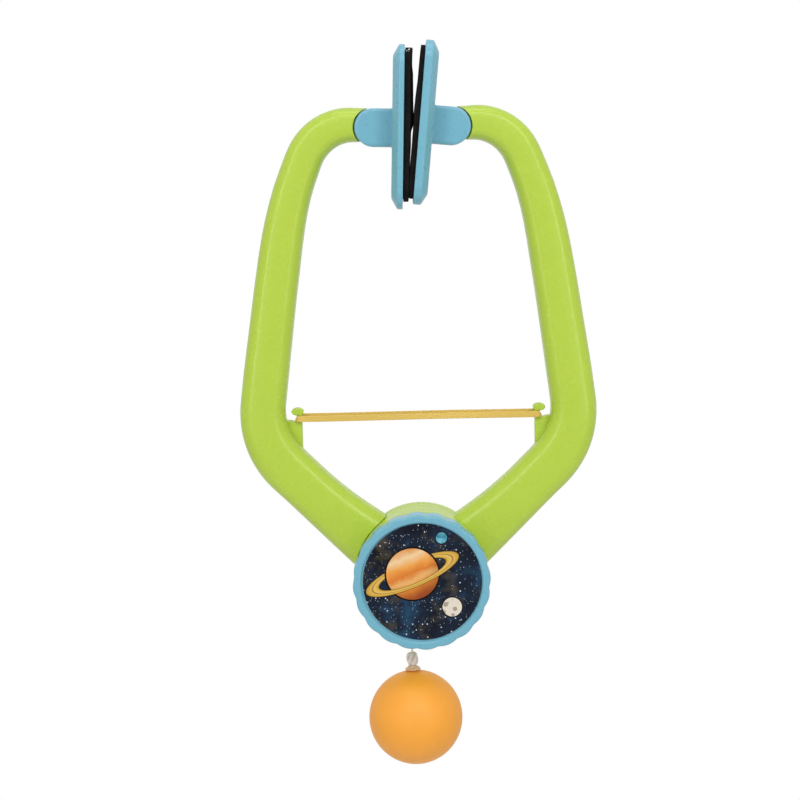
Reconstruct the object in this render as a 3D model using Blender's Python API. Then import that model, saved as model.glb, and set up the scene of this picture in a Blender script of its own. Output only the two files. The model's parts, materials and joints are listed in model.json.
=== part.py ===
"""Hanging table tennis trainer: a door-head clamp with a cord reel and a ball.

Two arms are hinged at a hub and pulled shut by a rubber band. Pads at their tips grip a wall from
both sides, and a knob on the hub winds in the cord that the ball hangs on. X runs from pad to pad,
Y from front to rear and Z up. The origin lies between the pads, at the height of their pins.
"""

import math

import bmesh
import bpy
from mathutils import Matrix, Vector

MM = 0.001

# Clearances
SEAT = 0.25 * MM  # between pieces that rest on each other
RUN = 0.4 * MM  # beside pieces that turn
OVERCUT = 1.0 * MM  # how far a cutter passes the face it opens
EMBED = 0.8 * MM  # how far a rib or boss is sunk into what it stands on
MERGE = 0.02 * MM  # corners nearer than this are one corner

# Arms: the centreline of the right arm, measured from the hub axis
HUB_DROP = 187.7 * MM  # from the pad pins down to the hub axis
TIP_RISE = 0.8 * MM  # how far the arm's end lies above the pad pin
ROOT_Z = -6.6 * MM  # where the centreline meets the hub's upright plane
ELBOW_X = 68.3 * MM
ELBOW_Z = 55.2 * MM
ELBOW_R = 34.5 * MM
BOW_X = 54.0 * MM
BOW_Z = 155.7 * MM
SHOULDER_X = 40.1 * MM
SHOULDER_R = 22.4 * MM
BOW_RUN = 0.6 * MM  # straight stretch between the bow's bend and the shoulder's
# Arm width at distances along the centreline
ARM_WIDTHS = (
    (16.0 * MM, 25.3 * MM),
    (92.0 * MM, 18.7 * MM),
    (135.0 * MM, 18.7 * MM),
    (201.0 * MM, 15.3 * MM),
    (247.0 * MM, 13.7 * MM),
)
ARM_DEPTH = 17.0 * MM
ARM_EDGE_R = 4.0 * MM
ARM_WALL = 2.2 * MM
PARTING = 0.3 * MM  # gap between the front and rear shells
ARC_STEP = math.radians(8.0)
EDGE_STEPS = 4
HOLLOW_STEPS = 2

# Arm screws, put in from the rear
SCREW_STATIONS = (62.0 * MM, 128.0 * MM, 198.0 * MM)
SCREW_R = 1.1 * MM
SCREW_HEAD_R = 2.6 * MM
SCREW_HEAD_T = 1.4 * MM
SCREW_REACH = 4.0 * MM  # into the front shell
BOSS_WALL = 1.6 * MM

# Band hooks in the elbows
FIN_T = 4.0 * MM
FIN_REACH = 8.9 * MM  # from the elbow's inner corner towards the middle
FIN_RISE = 6.2 * MM  # from the elbow's inner corner up to the fin's top
NECK_W = 2.0 * MM
NECK_H = 3.0 * MM
HEAD_W = 5.2 * MM
HEAD_H = 3.0 * MM

# Rubber band
BAND_H = 2.6 * MM
BAND_T = 1.0 * MM
BAND_SPLIT = 0.3 * MM  # gap between the halves that stand for its two ends

# Hub drum on the right arm, and the left arm's disc behind it
HUB_R = 27.2 * MM
HUB_WALL = 2.2 * MM
DRUM_PROUD = 7.0 * MM  # in front of the arm's front face
DISC_T = 5.0 * MM
DISC_PROUD = 0.6 * MM  # behind the arm's rear face
AXLE_R = 5.0 * MM
PIVOT_SCREW_R = 1.6 * MM
PIVOT_SCREW_L = 8.0 * MM
PIVOT_HEAD_R = 3.8 * MM
PIVOT_HEAD_T = 2.0 * MM
PIVOT_WASHER_R = 8.0 * MM
PIVOT_WASHER_T = 1.0 * MM

# Reel
SPOOL_CORE_R = 4.5 * MM
SPOOL_FLANGE_R = 10.0 * MM
SPOOL_FLANGE_T = 1.4 * MM
SPOOL_PIN_R = 2.5 * MM
SPOOL_PIN_L = 9.5 * MM
STUB_R = 5.0 * MM
STUB_L = 3.0 * MM  # inside the knob
FRICTION_T = 0.8 * MM
FRICTION_R = 8.0 * MM
WINDING_T = 1.8 * MM

# Knob
KNOB_R = 28.8 * MM
KNOB_DEPTH = 8.0 * MM
KNOB_WALL = 2.2 * MM
KNOB_CHAMFER = 0.7 * MM
LOBES = 20
LOBE_DEPTH = 0.9 * MM
LOBE_POINTS = 5
RING_W = 3.9 * MM  # from the lobes in to the recess for the disc
RECESS = 1.0 * MM
LABEL_T = 0.4 * MM
KNOB_SCREW_R = 1.2 * MM
KNOB_SCREW_L = 6.0 * MM
KNOB_HEAD_R = 2.8 * MM
KNOB_HEAD_T = 1.0 * MM

# Pads
PAD_H = 66.4 * MM
PAD_D = 46.0 * MM
PAD_CORNER_R = 7.5 * MM
PLATE_T = 4.9 * MM
BEVEL_T = 2.5 * MM  # share of the plate's thickness that is bevelled
BEVEL_W = 4.5 * MM
FACING_H = 62.0 * MM
FACING_D = 41.0 * MM
FACING_T = 2.0 * MM
FACING_CROWN = 0.1 * MM  # how far the facing's middle stands out
PAD_CLEAR = 0.4 * MM  # between the facings where they come nearest
LEFT_TILT = math.radians(2.0)
RIGHT_TILT = math.radians(5.85)
CLEVIS_REACH = 7.9 * MM  # from the pin to the plate
CLEVIS_R = 7.75 * MM
TONGUE_T = 7.4 * MM
TONGUE_R = 5.5 * MM
PIN_R = 1.6 * MM
PIN_HEAD_R = 3.0 * MM
PIN_HEAD_T = 1.4 * MM
PIN_BLIND = 2.4 * MM  # wall left in front of the pin

# Cord and ball
CORD_D = 0.8 * MM
EXIT_X = -3.5 * MM
EXIT_Y = -9.0 * MM
EXIT_R = 1.2 * MM
CORD_OUT = 8.6 * MM  # from the drum down to the knot, wound in
CORD_SINK = 0.2 * MM  # how far the cord dips between the knot's upper loops
KNOT_LOOP = 0.84 * MM
KNOT_DEPTH = 0.95 * MM
BALL_R = 20.0 * MM
BALL_WALL = 0.5 * MM
PLUG_FLANGE_R = 3.3 * MM
PLUG_FLANGE_T = 1.8 * MM
PLUG_STEM_R = 1.3 * MM
PLUG_BARB_R = 2.1 * MM
PLUG_STEM_L = 4.0 * MM

# Facets
ROUND = 48
SMALL_ROUND = 16
BALL_STEPS = 28

# Worked out from the above
HALF_DEPTH = ARM_DEPTH / 2
FACING_REACH = SEAT + FACING_T
FACE_X = FACING_REACH + PAD_CLEAR / 2 + FACING_H / 4 * (math.sin(RIGHT_TILT) - math.sin(LEFT_TILT))
PIVOT_X = FACE_X + PLATE_T + CLEVIS_REACH
DRUM_FRONT = -HALF_DEPTH - DRUM_PROUD
DISC_BACK = HALF_DEPTH + DISC_PROUD
DISC_FRONT = DISC_BACK - DISC_T
DRUM_BACK = DISC_FRONT - SEAT
FLOOR_FRONT = DRUM_BACK - HUB_WALL
SPOOL_BACK = FLOOR_FRONT - FRICTION_T - 2 * SEAT
SPOOL_FRONT = DRUM_FRONT + HUB_WALL + SEAT
KNOB_BACK = DRUM_FRONT - RUN
KNOB_FRONT = KNOB_BACK - KNOB_DEPTH
KNOB_FLOOR = KNOB_FRONT + RECESS
STUB_END = KNOB_BACK - STUB_L
NOTCH_R = CLEVIS_R + RUN
CLEVIS_GAP = TONGUE_T / 2 + SEAT
CORD_R = CORD_D / 2
EXIT_Z = -math.sqrt(HUB_R**2 - EXIT_X**2)
KNOT_TOP = EXIT_Z - CORD_OUT
KNOT_RISE = 33 / 16 * KNOT_LOOP  # how far the knot's curve goes above its middle
KNOT_H = KNOT_RISE + 3 * KNOT_LOOP + CORD_D
PLUG_TOP = KNOT_TOP - KNOT_H - SEAT
BALL_TOP = PLUG_TOP - PLUG_FLANGE_T - SEAT


def clear_scene():
    """Remove whatever the scene holds."""
    for old in list(bpy.data.objects):
        bpy.data.objects.remove(old)


def make_material(name, colour, roughness, metallic=0.0):
    """A Principled material of one colour."""
    material = bpy.data.materials.new(name)
    material.use_nodes = True
    shader = material.node_tree.nodes["Principled BSDF"]
    shader.inputs["Base Color"].default_value = (*colour, 1.0)
    shader.inputs["Roughness"].default_value = roughness
    shader.inputs["Metallic"].default_value = metallic
    return material


def make_object(name, bm):
    """Turn a bmesh into an object whose faces point out."""
    bmesh.ops.recalc_face_normals(bm, faces=bm.faces)
    mesh = bpy.data.meshes.new(name)
    bm.to_mesh(mesh)
    bm.free()
    thing = bpy.data.objects.new(name, mesh)
    bpy.context.scene.collection.objects.link(thing)
    return thing


def combine(body, tool, operation):
    """Join a tool to a body, or cut it away, and keep only the body."""
    modifier = body.modifiers.new("combine", "BOOLEAN")
    modifier.operation = operation
    modifier.object = tool
    modifier.solver = "EXACT"
    bpy.context.view_layer.update()
    graph = bpy.context.evaluated_depsgraph_get()
    mesh = bpy.data.meshes.new_from_object(body.evaluated_get(graph))
    body.modifiers.remove(modifier)
    bm = bmesh.new()
    bm.from_mesh(mesh)
    bmesh.ops.remove_doubles(bm, verts=bm.verts, dist=MERGE)
    bmesh.ops.dissolve_degenerate(bm, edges=bm.edges, dist=MERGE)
    bm.to_mesh(mesh)
    bm.free()
    body.data = mesh
    bpy.data.objects.remove(tool)


def join(body, *tools):
    """Add each tool to the body."""
    for tool in tools:
        combine(body, tool, "UNION")


def cut(body, *tools):
    """Take each tool out of the body."""
    for tool in tools:
        combine(body, tool, "DIFFERENCE")


def finish(thing, parent, material, angle=35.0):
    """Hang a piece on its joint, give it its material and shade it."""
    thing.parent = parent
    thing.data.materials.clear()
    thing.data.materials.append(material)
    thing.data.shade_smooth()
    thing.data.set_sharp_from_angle(angle=math.radians(angle))


def make_joint(name, place, turn=0.0):
    """An empty on a joint's axis, turned about Y as the piece lies at rest."""
    empty = bpy.data.objects.new(name, None)
    empty.location = place
    empty.rotation_euler = (0.0, turn, 0.0)
    bpy.context.scene.collection.objects.link(empty)
    return empty


def turned(name, profile, segments, upright=False):
    """Spin an outline of (radius, height) points about Y, or about Z if upright."""
    bm = bmesh.new()
    corners = [bm.verts.new((radius, height, 0.0)) for radius, height in profile]
    edges = [bm.edges.new(pair) for pair in zip(corners, corners[1:])]
    if profile[0][0] > 0.0:
        edges.append(bm.edges.new((corners[-1], corners[0])))
    bmesh.ops.spin(
        bm,
        geom=corners + edges,
        cent=(0.0, 0.0, 0.0),
        axis=(0.0, 1.0, 0.0),
        angle=2 * math.pi,
        steps=segments,
        use_merge=True,
    )
    bmesh.ops.remove_doubles(bm, verts=bm.verts, dist=1e-7)
    bmesh.ops.dissolve_degenerate(bm, edges=bm.edges, dist=1e-7)
    if upright:
        bmesh.ops.rotate(bm, verts=bm.verts, matrix=Matrix.Rotation(math.pi / 2, 3, "X"))
    return make_object(name, bm)


def cylinder(name, radius, low, high, x=0.0, z=0.0, segments=SMALL_ROUND):
    """A round bar along Y from low to high."""
    rod = turned(name, [(0.0, low), (radius, low), (radius, high), (0.0, high)], segments)
    rod.data.transform(Matrix.Translation((x, 0.0, z)))
    return rod


def extruded(name, outline, low, high):
    """A slab along Y with an outline of (x, z) points."""
    bm = bmesh.new()
    face = bm.faces.new([bm.verts.new((x, low, z)) for x, z in outline])
    grown = bmesh.ops.extrude_face_region(bm, geom=[face])
    lifted = [item for item in grown["geom"] if isinstance(item, bmesh.types.BMVert)]
    bmesh.ops.translate(bm, verts=lifted, vec=(0.0, high - low, 0.0))
    return make_object(name, bm)


def lofted(name, rings):
    """A closed body through rings that have the same number of points."""
    bm = bmesh.new()
    loops = [[bm.verts.new(point) for point in ring] for ring in rings]
    for first, second in zip(loops, loops[1:]):
        for index in range(len(first)):
            after = (index + 1) % len(first)
            bm.faces.new((first[index], first[after], second[after], second[index]))
    bm.faces.new(loops[0])
    bm.faces.new(loops[-1])
    return make_object(name, bm)


def tube(name, points, radius, closed=False):
    """A cord of the given radius along points, with capped ends."""
    curve = bpy.data.curves.new(name, "CURVE")
    curve.dimensions = "3D"
    curve.bevel_depth = radius
    curve.bevel_resolution = 2
    curve.use_fill_caps = not closed
    spline = curve.splines.new("POLY")
    spline.points.add(len(points) - 1)
    for slot, point in zip(spline.points, points):
        slot.co = (*point, 1.0)
    spline.use_cyclic_u = closed
    holder = bpy.data.objects.new(name, curve)
    bpy.context.scene.collection.objects.link(holder)
    bpy.context.view_layer.update()
    graph = bpy.context.evaluated_depsgraph_get()
    mesh = bpy.data.meshes.new_from_object(holder.evaluated_get(graph))
    bpy.data.objects.remove(holder)
    bm = bmesh.new()
    bm.from_mesh(mesh)
    bpy.data.meshes.remove(mesh)
    bmesh.ops.remove_doubles(bm, verts=bm.verts, dist=1e-7)
    return make_object(name, bm)


def arc(centre, radius, start, stop, steps):
    """Points on a circle from one angle to another."""
    return [
        (
            centre[0] + radius * math.cos(start + (stop - start) * step / steps),
            centre[1] + radius * math.sin(start + (stop - start) * step / steps),
        )
        for step in range(steps + 1)
    ]


def bend(before, corner, after):
    """The angle by which a polyline turns at a corner."""
    heading = corner - before
    leaving = after - corner
    return math.atan2(heading.cross(leaving), heading.dot(leaving))


def rounded_path(corners, radii):
    """A polyline whose inner corners are replaced by arcs."""
    points = [corners[0]]
    for before, corner, after, radius in zip(corners, corners[1:], corners[2:], radii):
        heading = (corner - before).normalized()
        turn = bend(before, corner, after)
        first = corner - heading * radius * math.tan(abs(turn) / 2)
        inward = Vector((-heading.y, heading.x)) * math.copysign(1.0, turn)
        centre = first + inward * radius
        steps = max(2, math.ceil(abs(turn) / ARC_STEP))
        for step in range(steps + 1):
            points.append(centre + Matrix.Rotation(turn * step / steps, 2) @ (first - centre))
    points.append(corners[-1])
    return points


def arm_corners():
    """Corner points of the right arm's centreline, from the hub to the pad pin."""
    return [
        Vector((0.0, ROOT_Z)),
        Vector((ELBOW_X, ELBOW_Z)),
        Vector((BOW_X, BOW_Z)),
        Vector((SHOULDER_X, HUB_DROP + TIP_RISE)),
        Vector((PIVOT_X, HUB_DROP + TIP_RISE)),
    ]


def arm_path():
    """The right arm's centreline. The bow's bend takes the room that the shoulder's leaves it."""
    corners = arm_corners()
    room = (corners[3] - corners[2]).length - SHOULDER_R * math.tan(bend(*corners[2:5]) / 2)
    bow_r = (room - BOW_RUN) / math.tan(bend(*corners[1:4]) / 2)
    return rounded_path(corners, [ELBOW_R, bow_r, SHOULDER_R])


def path_lengths(points):
    """Distance along a polyline at each of its points."""
    lengths = [0.0]
    for first, second in zip(points, points[1:]):
        lengths.append(lengths[-1] + (second - first).length)
    return lengths


def point_at(points, lengths, distance):
    """The point at a distance along a polyline, and the heading there."""
    last = len(points) - 2
    index = 0
    while index < last and lengths[index + 1] < distance:
        index += 1
    heading = (points[index + 1] - points[index]).normalized()
    return points[index] + heading * (distance - lengths[index]), heading


def arm_width(distance):
    """The arm's width at a distance along its centreline."""
    previous = ARM_WIDTHS[0]
    for stop in ARM_WIDTHS[1:]:
        if distance <= stop[0]:
            share = (distance - previous[0]) / (stop[0] - previous[0])
            return previous[1] + (stop[1] - previous[1]) * share
        previous = stop
    return previous[1]


def arm_stations(begin, end):
    """Place, sideways direction and half width at stations between two distances."""
    points = arm_path()
    lengths = path_lengths(points)
    stops = [stop for stop in lengths if begin < stop < end]
    stops += [stop for stop, _ in ARM_WIDTHS if begin < stop < end]
    stations = []
    for stop in [begin, *sorted(stops), end]:
        place, heading = point_at(points, lengths, stop)
        beyond = point_at(points, lengths, min(stop + EMBED, end))[1]
        heading = (heading + beyond).normalized()
        stations.append((place, Vector((heading.y, -heading.x)), arm_width(stop) / 2))
    return stations


def half_section(half_width, rear, inset, lip, steps):
    """Half of the arm's cross-section as (sideways, depth) points, on the front or the rear side."""
    side = 1.0 if rear else -1.0
    width = half_width - inset
    depth = HALF_DEPTH - inset
    radius = max(ARM_EDGE_R - inset, EMBED)
    right = arc((width - radius, depth - radius), radius, 0.0, math.pi / 2, steps)
    left = [(-across, deep) for across, deep in reversed(right)]
    outline = [(width, lip), *right, *left, (-width, lip)]
    return [(across, side * deep) for across, deep in outline]


def swept_half(name, side, rear, begin, end, inset=0.0, lip=PARTING / 2, steps=EDGE_STEPS):
    """The front or rear half of an arm, solid, between two distances along its centreline."""
    rings = []
    for place, sideways, half_width in arm_stations(begin, end):
        section = half_section(half_width, rear, inset, lip, steps)
        rings.append(
            [(side * (place.x + sideways.x * u), v, place.y + sideways.y * u) for u, v in section]
        )
    return lofted(name, rings)


def limb_heading():
    """Direction of the right arm's lower limb, from the hub out."""
    corners = arm_corners()
    return (corners[1] - corners[0]).normalized()


def limb_distance(out):
    """Distance along the centreline of a square cut that lies so far out from the hub axis."""
    return out - limb_heading().dot(arm_corners()[0])


def elbow_corner():
    """Where the inner edges of the two limbs would meet."""
    corners = arm_corners()
    half = arm_width(ARM_WIDTHS[1][0]) / 2
    low = (corners[1] - corners[0]).normalized()
    high = (corners[2] - corners[1]).normalized()
    inward = Vector((-low.y, low.x)) + Vector((-high.y, high.x))
    return corners[1] + inward.normalized() * half / math.cos(bend(*corners[:3]) / 2)


def hook_place():
    """The inner upper corner of the fin, where the hook's neck stands."""
    corner = elbow_corner()
    return Vector((corner.x - FIN_REACH, corner.y + FIN_RISE))


def fin_depths():
    """The rear shell's fin lies just behind the parting plane."""
    front = PARTING / 2 + SEAT
    return front, front + FIN_T


def hook_fin(side):
    """The gusset in the elbow, with the neck and the round head that holds the band."""
    corner = elbow_corner()
    top = hook_place()
    head_z = top.y + NECK_H + HEAD_H / 2
    head_x = top.x + HEAD_W / 2 - SEAT
    start = math.atan2(-HEAD_H / 2, top.x + NECK_W - head_x)
    head = [
        (head_x + HEAD_W / 2 * across, head_z + HEAD_H / 2 * up)
        for across, up in arc((0.0, 0.0), 1.0, start, start + 1.6 * math.pi, 10)
    ]
    outline = [
        (corner.x, corner.y),
        (corner.x, top.y),
        (top.x + NECK_W, top.y),
        *head,
        (top.x, head_z - HEAD_H / 4),
        (top.x, corner.y - FIN_REACH),
    ]
    return extruded("fin", [(side * x, z) for x, z in outline], *fin_depths())


def tongue(name, side, rear):
    """Half of the flat eye that goes between the pad's cheeks."""
    back = PIVOT_X + NOTCH_R + ARM_WALL
    outline = [(back, HUB_DROP - TONGUE_R), (back, HUB_DROP + TONGUE_R)]
    outline += arc((PIVOT_X, HUB_DROP), TONGUE_R, math.pi / 2, 3 * math.pi / 2, 8)
    low, high = PARTING / 2 + SEAT, TONGUE_T / 2
    if not rear:
        low, high = -high, -low
    return extruded(name, [(side * x, z) for x, z in outline], low, high)


def pivot_hole(side, radius):
    """A bar through the pad pin's axis."""
    return cylinder("cutter", radius, -ARM_DEPTH, ARM_DEPTH, side * PIVOT_X, HUB_DROP, 2 * SMALL_ROUND)


def screw_places(side):
    """Where the arm's screws stand, as (x, z)."""
    points = arm_path()
    lengths = path_lengths(points)
    places = [point_at(points, lengths, station)[0] for station in SCREW_STATIONS]
    return [(side * place.x, place.y) for place in places]


def open_arm_half(body, side, rear, begin):
    """Hollow a solid arm half, open its notch for the pad and give it its eye and screw bosses."""
    end = path_lengths(arm_path())[-1] - NOTCH_R - ARM_WALL
    lip = -OVERCUT
    cut(body, swept_half("hollow", side, rear, begin, end, ARM_WALL, lip, HOLLOW_STEPS))
    cut(body, pivot_hole(side, NOTCH_R))
    join(body, tongue("tongue", side, rear))
    cut(body, pivot_hole(side, PIN_R + SEAT))
    for x, z in screw_places(side):
        if rear:
            add_rear_boss(body, x, z)
        else:
            add_front_boss(body, x, z)


def add_front_boss(body, x, z):
    """A blind screw boss inside the front shell."""
    radius = SCREW_R + SEAT + BOSS_WALL
    deep = -HALF_DEPTH + ARM_WALL - EMBED
    join(body, cylinder("boss", radius, deep, -PARTING, x, z))
    cut(body, cylinder("hole", SCREW_R + SEAT, -SCREW_REACH - SEAT, OVERCUT, x, z))


def add_rear_boss(body, x, z):
    """A through boss inside the rear shell, with a seat for the screw's head."""
    radius = SCREW_R + SEAT + BOSS_WALL
    deep = HALF_DEPTH - ARM_WALL + EMBED
    join(body, cylinder("boss", radius, PARTING, deep, x, z))
    cut(body, cylinder("hole", SCREW_R + SEAT, -OVERCUT, ARM_DEPTH, x, z))
    seat = HALF_DEPTH - SCREW_HEAD_T - SEAT
    cut(body, cylinder("seat", SCREW_HEAD_R + SEAT, seat, ARM_DEPTH, x, z))


def left_arm(parent, plastic):
    """The left arm's shells: the front ends square beside the drum, the rear has the hub disc."""
    end = path_lengths(arm_path())[-1]
    seam = limb_distance(HUB_R + RUN)
    front = swept_half("left_arm_front", -1, False, seam, end)
    open_arm_half(front, -1, False, seam + ARM_WALL)
    finish(front, parent, plastic)
    rear = swept_half("left_arm_rear", -1, True, limb_distance(AXLE_R), end)
    join(rear, hook_fin(-1))
    join(rear, cylinder("disc", HUB_R, DRUM_BACK - EMBED, DISC_BACK, segments=ROUND))
    cut(rear, cylinder("drum_room", HUB_R + RUN, -OVERCUT, DISC_FRONT, segments=ROUND))
    cut(rear, cylinder("bore", AXLE_R + SEAT, 0.0, ARM_DEPTH, segments=2 * SMALL_ROUND))
    open_arm_half(rear, -1, True, seam + ARM_WALL)
    finish(rear, parent, plastic)


def right_arm(parent, plastic):
    """The right arm's shells: the front has the drum, the rear has its floor and the axle."""
    end = path_lengths(arm_path())[-1]
    inside = HUB_R - HUB_WALL
    seam = limb_distance(HUB_R + RUN)
    front = swept_half("right_arm_front", 1, False, limb_distance(AXLE_R), end)
    join(front, cylinder("drum", HUB_R, DRUM_FRONT, -PARTING, segments=ROUND))
    cut(front, cylinder("room", inside, DRUM_FRONT + HUB_WALL, OVERCUT, segments=ROUND))
    cut(front, cylinder("mouth", STUB_R + RUN, DRUM_FRONT - OVERCUT, 0.0, segments=2 * SMALL_ROUND))
    open_arm_half(front, 1, False, seam + ARM_WALL)
    cut(front, exit_hole())
    finish(front, parent, plastic)
    rear = swept_half("right_arm_rear", 1, True, limb_distance(AXLE_R), end)
    join(rear, hook_fin(1))
    join(rear, cylinder("drum", HUB_R, PARTING, DISC_FRONT + EMBED, segments=ROUND))
    cut(rear, cylinder("disc_room", HUB_R + RUN, DRUM_BACK, ARM_DEPTH, segments=ROUND))
    cut(rear, cylinder("room", inside, -OVERCUT, FLOOR_FRONT, segments=ROUND))
    join(rear, cylinder("axle", AXLE_R, FLOOR_FRONT + EMBED, DISC_BACK - SEAT, segments=2 * SMALL_ROUND))
    join(rear, cylinder("pin", SPOOL_PIN_R, FLOOR_FRONT - SPOOL_PIN_L, FLOOR_FRONT + EMBED))
    tip = DISC_BACK - PIVOT_SCREW_L - SEAT
    cut(rear, cylinder("hole", PIVOT_SCREW_R + SEAT, tip, ARM_DEPTH))
    open_arm_half(rear, 1, True, seam + ARM_WALL)
    finish(rear, parent, plastic)


def exit_hole():
    """An upright bar through the bottom of the drum, where the cord comes out."""
    wall = HUB_R - HUB_WALL
    bar = turned(
        "exit",
        [(0.0, -HUB_R - OVERCUT), (EXIT_R, -HUB_R - OVERCUT), (EXIT_R, -wall / 2), (0.0, -wall / 2)],
        SMALL_ROUND,
        upright=True,
    )
    bar.data.transform(Matrix.Translation((EXIT_X, EXIT_Y, 0.0)))
    return bar


def screw(name, shank_r, tip, head_r, low, high, places=(0.0, 0.0)):
    """A pan-head screw along Y whose head lies between low and high, with its tip on either side."""
    shoulder = low if tip < low else high
    crown = high if tip < low else low
    edge = crown + (shoulder - crown) / 3
    profile = [
        (0.0, tip),
        (shank_r, tip),
        (shank_r, shoulder),
        (head_r, shoulder),
        (head_r, edge),
        (head_r * 0.8, crown),
        (0.0, crown),
    ]
    thing = turned(name, profile, SMALL_ROUND)
    thing.data.transform(Matrix.Translation((places[0], 0.0, places[1])))
    return thing


def arm_screws(label, side, parent, steel):
    """The three screws that hold an arm's shells together."""
    top = HALF_DEPTH - SEAT
    for number, place in enumerate(screw_places(side), 1):
        name = f"{label}_arm_screw_{number}"
        thing = screw(name, SCREW_R, -SCREW_REACH, SCREW_HEAD_R, top - SCREW_HEAD_T, top, place)
        finish(thing, parent, steel)


def washer(name, inner, outer, low, high):
    """A flat ring about Y."""
    return turned(name, [(inner, low), (outer, low), (outer, high), (inner, high)], 2 * SMALL_ROUND)


def pivot_fasteners(parent, steel):
    """The washer and screw that hold the left arm's disc on the axle."""
    low = DISC_BACK + SEAT
    ring = washer("pivot_washer", PIVOT_SCREW_R + SEAT, PIVOT_WASHER_R, low, low + PIVOT_WASHER_T)
    finish(ring, parent, steel)
    head = low + PIVOT_WASHER_T + SEAT
    tip = DISC_BACK - PIVOT_SCREW_L
    bolt = screw("pivot_screw", PIVOT_SCREW_R, tip, PIVOT_HEAD_R, head, head + PIVOT_HEAD_T)
    finish(bolt, parent, steel)


def spool(parent, plastic):
    """The bobbin on the drum's pin, with a stub that goes through the drum into the knob."""
    pin_end = FLOOR_FRONT - SPOOL_PIN_L - SEAT
    screw_end = STUB_END + KNOB_SCREW_L
    profile = [
        (0.0, pin_end),
        (SPOOL_PIN_R + SEAT, pin_end),
        (SPOOL_PIN_R + SEAT, SPOOL_BACK),
        (SPOOL_FLANGE_R, SPOOL_BACK),
        (SPOOL_FLANGE_R, SPOOL_BACK - SPOOL_FLANGE_T),
        (SPOOL_CORE_R, SPOOL_BACK - SPOOL_FLANGE_T),
        (SPOOL_CORE_R, SPOOL_FRONT + SPOOL_FLANGE_T),
        (SPOOL_FLANGE_R, SPOOL_FRONT + SPOOL_FLANGE_T),
        (SPOOL_FLANGE_R, SPOOL_FRONT),
        (STUB_R, SPOOL_FRONT),
        (STUB_R, STUB_END),
        (KNOB_SCREW_R + SEAT, STUB_END),
        (KNOB_SCREW_R + SEAT, screw_end),
        (0.0, screw_end),
    ]
    finish(turned("cord_spool", profile, 2 * SMALL_ROUND), parent, plastic)


def winding(parent, material):
    """The wound cord, inside the drum and out of sight, as one ring."""
    inner = SPOOL_CORE_R + SEAT
    low = SPOOL_FRONT + SPOOL_FLANGE_T + SEAT
    high = SPOOL_BACK - SPOOL_FLANGE_T - SEAT
    finish(washer("cord_winding", inner, inner + WINDING_T, low, high), parent, material)


def lobed_ring(shrink, y):
    """The knob's scalloped outline, drawn in by shrink, at a depth."""
    count = LOBES * LOBE_POINTS
    ring = []
    for index in range(count):
        angle = 2 * math.pi * index / count
        swell = abs(math.sin(LOBES * angle / 2))
        radius = KNOB_R - LOBE_DEPTH * (1.0 - swell) - shrink
        ring.append((radius * math.cos(angle), y, radius * math.sin(angle)))
    return ring


def knob(parent, plastic):
    """The scalloped cap with a recess for the printed disc and a socket for the spool's stub."""
    rings = [
        lobed_ring(0.0, KNOB_BACK),
        lobed_ring(0.0, KNOB_FRONT + KNOB_CHAMFER),
        lobed_ring(KNOB_CHAMFER, KNOB_FRONT),
    ]
    cap = lofted("reel_knob", rings)
    socket_r = STUB_R + SEAT
    boss_r = socket_r + KNOB_WALL
    room_r = KNOB_R - LOBE_DEPTH - KNOB_WALL
    room_end = KNOB_FLOOR + KNOB_WALL
    past = KNOB_BACK + OVERCUT
    cut(cap, cylinder("recess", KNOB_R - RING_W, KNOB_FRONT - OVERCUT, KNOB_FLOOR, segments=ROUND))
    cut(cap, turned("room", [(boss_r, past), (room_r, past), (room_r, room_end), (boss_r, room_end)], ROUND))
    cut(cap, cylinder("socket", socket_r, STUB_END - SEAT, past, segments=2 * SMALL_ROUND))
    cut(cap, cylinder("hole", KNOB_SCREW_R + SEAT, KNOB_FRONT, 0.0))
    seat = KNOB_FLOOR + KNOB_HEAD_T + 2 * SEAT
    cut(cap, cylinder("seat", KNOB_HEAD_R + SEAT, KNOB_FRONT, seat))
    finish(cap, parent, plastic)


def knob_trim(parent, steel, print_material):
    """The screw in the knob and the printed disc that covers it."""
    head = KNOB_FLOOR + SEAT
    tip = STUB_END + KNOB_SCREW_L - SEAT
    bolt = screw("knob_screw", KNOB_SCREW_R, tip, KNOB_HEAD_R, head, head + KNOB_HEAD_T)
    finish(bolt, parent, steel)
    label_r = KNOB_R - RING_W - SEAT
    disc = cylinder("knob_disc", label_r, KNOB_FLOOR - SEAT - LABEL_T, KNOB_FLOOR - SEAT, segments=ROUND)
    finish(disc, parent, print_material)


def rounded_rectangle(x, depth, height, radius):
    """A rounded rectangle of points in a plane of constant x."""
    ring = []
    for quarter in range(4):
        across = 1.0 if quarter in (0, 3) else -1.0
        up = 1.0 if quarter in (0, 1) else -1.0
        centre = (across * (depth / 2 - radius), up * (height / 2 - radius))
        start = quarter * math.pi / 2
        ring += [(x, y, z) for y, z in arc(centre, radius, start, start + math.pi / 2, 5)]
    return ring


def crown(facing, face_x):
    """Raise the middle of a facing's outer face, so that its two halves fall away up and down."""
    bm = bmesh.new()
    bm.from_mesh(facing.data)
    geometry = [*bm.verts, *bm.edges, *bm.faces]
    bmesh.ops.bisect_plane(bm, geom=geometry, plane_co=(0.0, 0.0, 0.0), plane_no=(0.0, 0.0, 1.0))
    for vert in bm.verts:
        if abs(vert.co.x - face_x) < MERGE:
            fall = abs(vert.co.z) / (FACING_H / 2)
            vert.co.x += math.copysign(FACING_CROWN * (1.0 - fall), face_x)
    bm.to_mesh(facing.data)
    bm.free()


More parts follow.
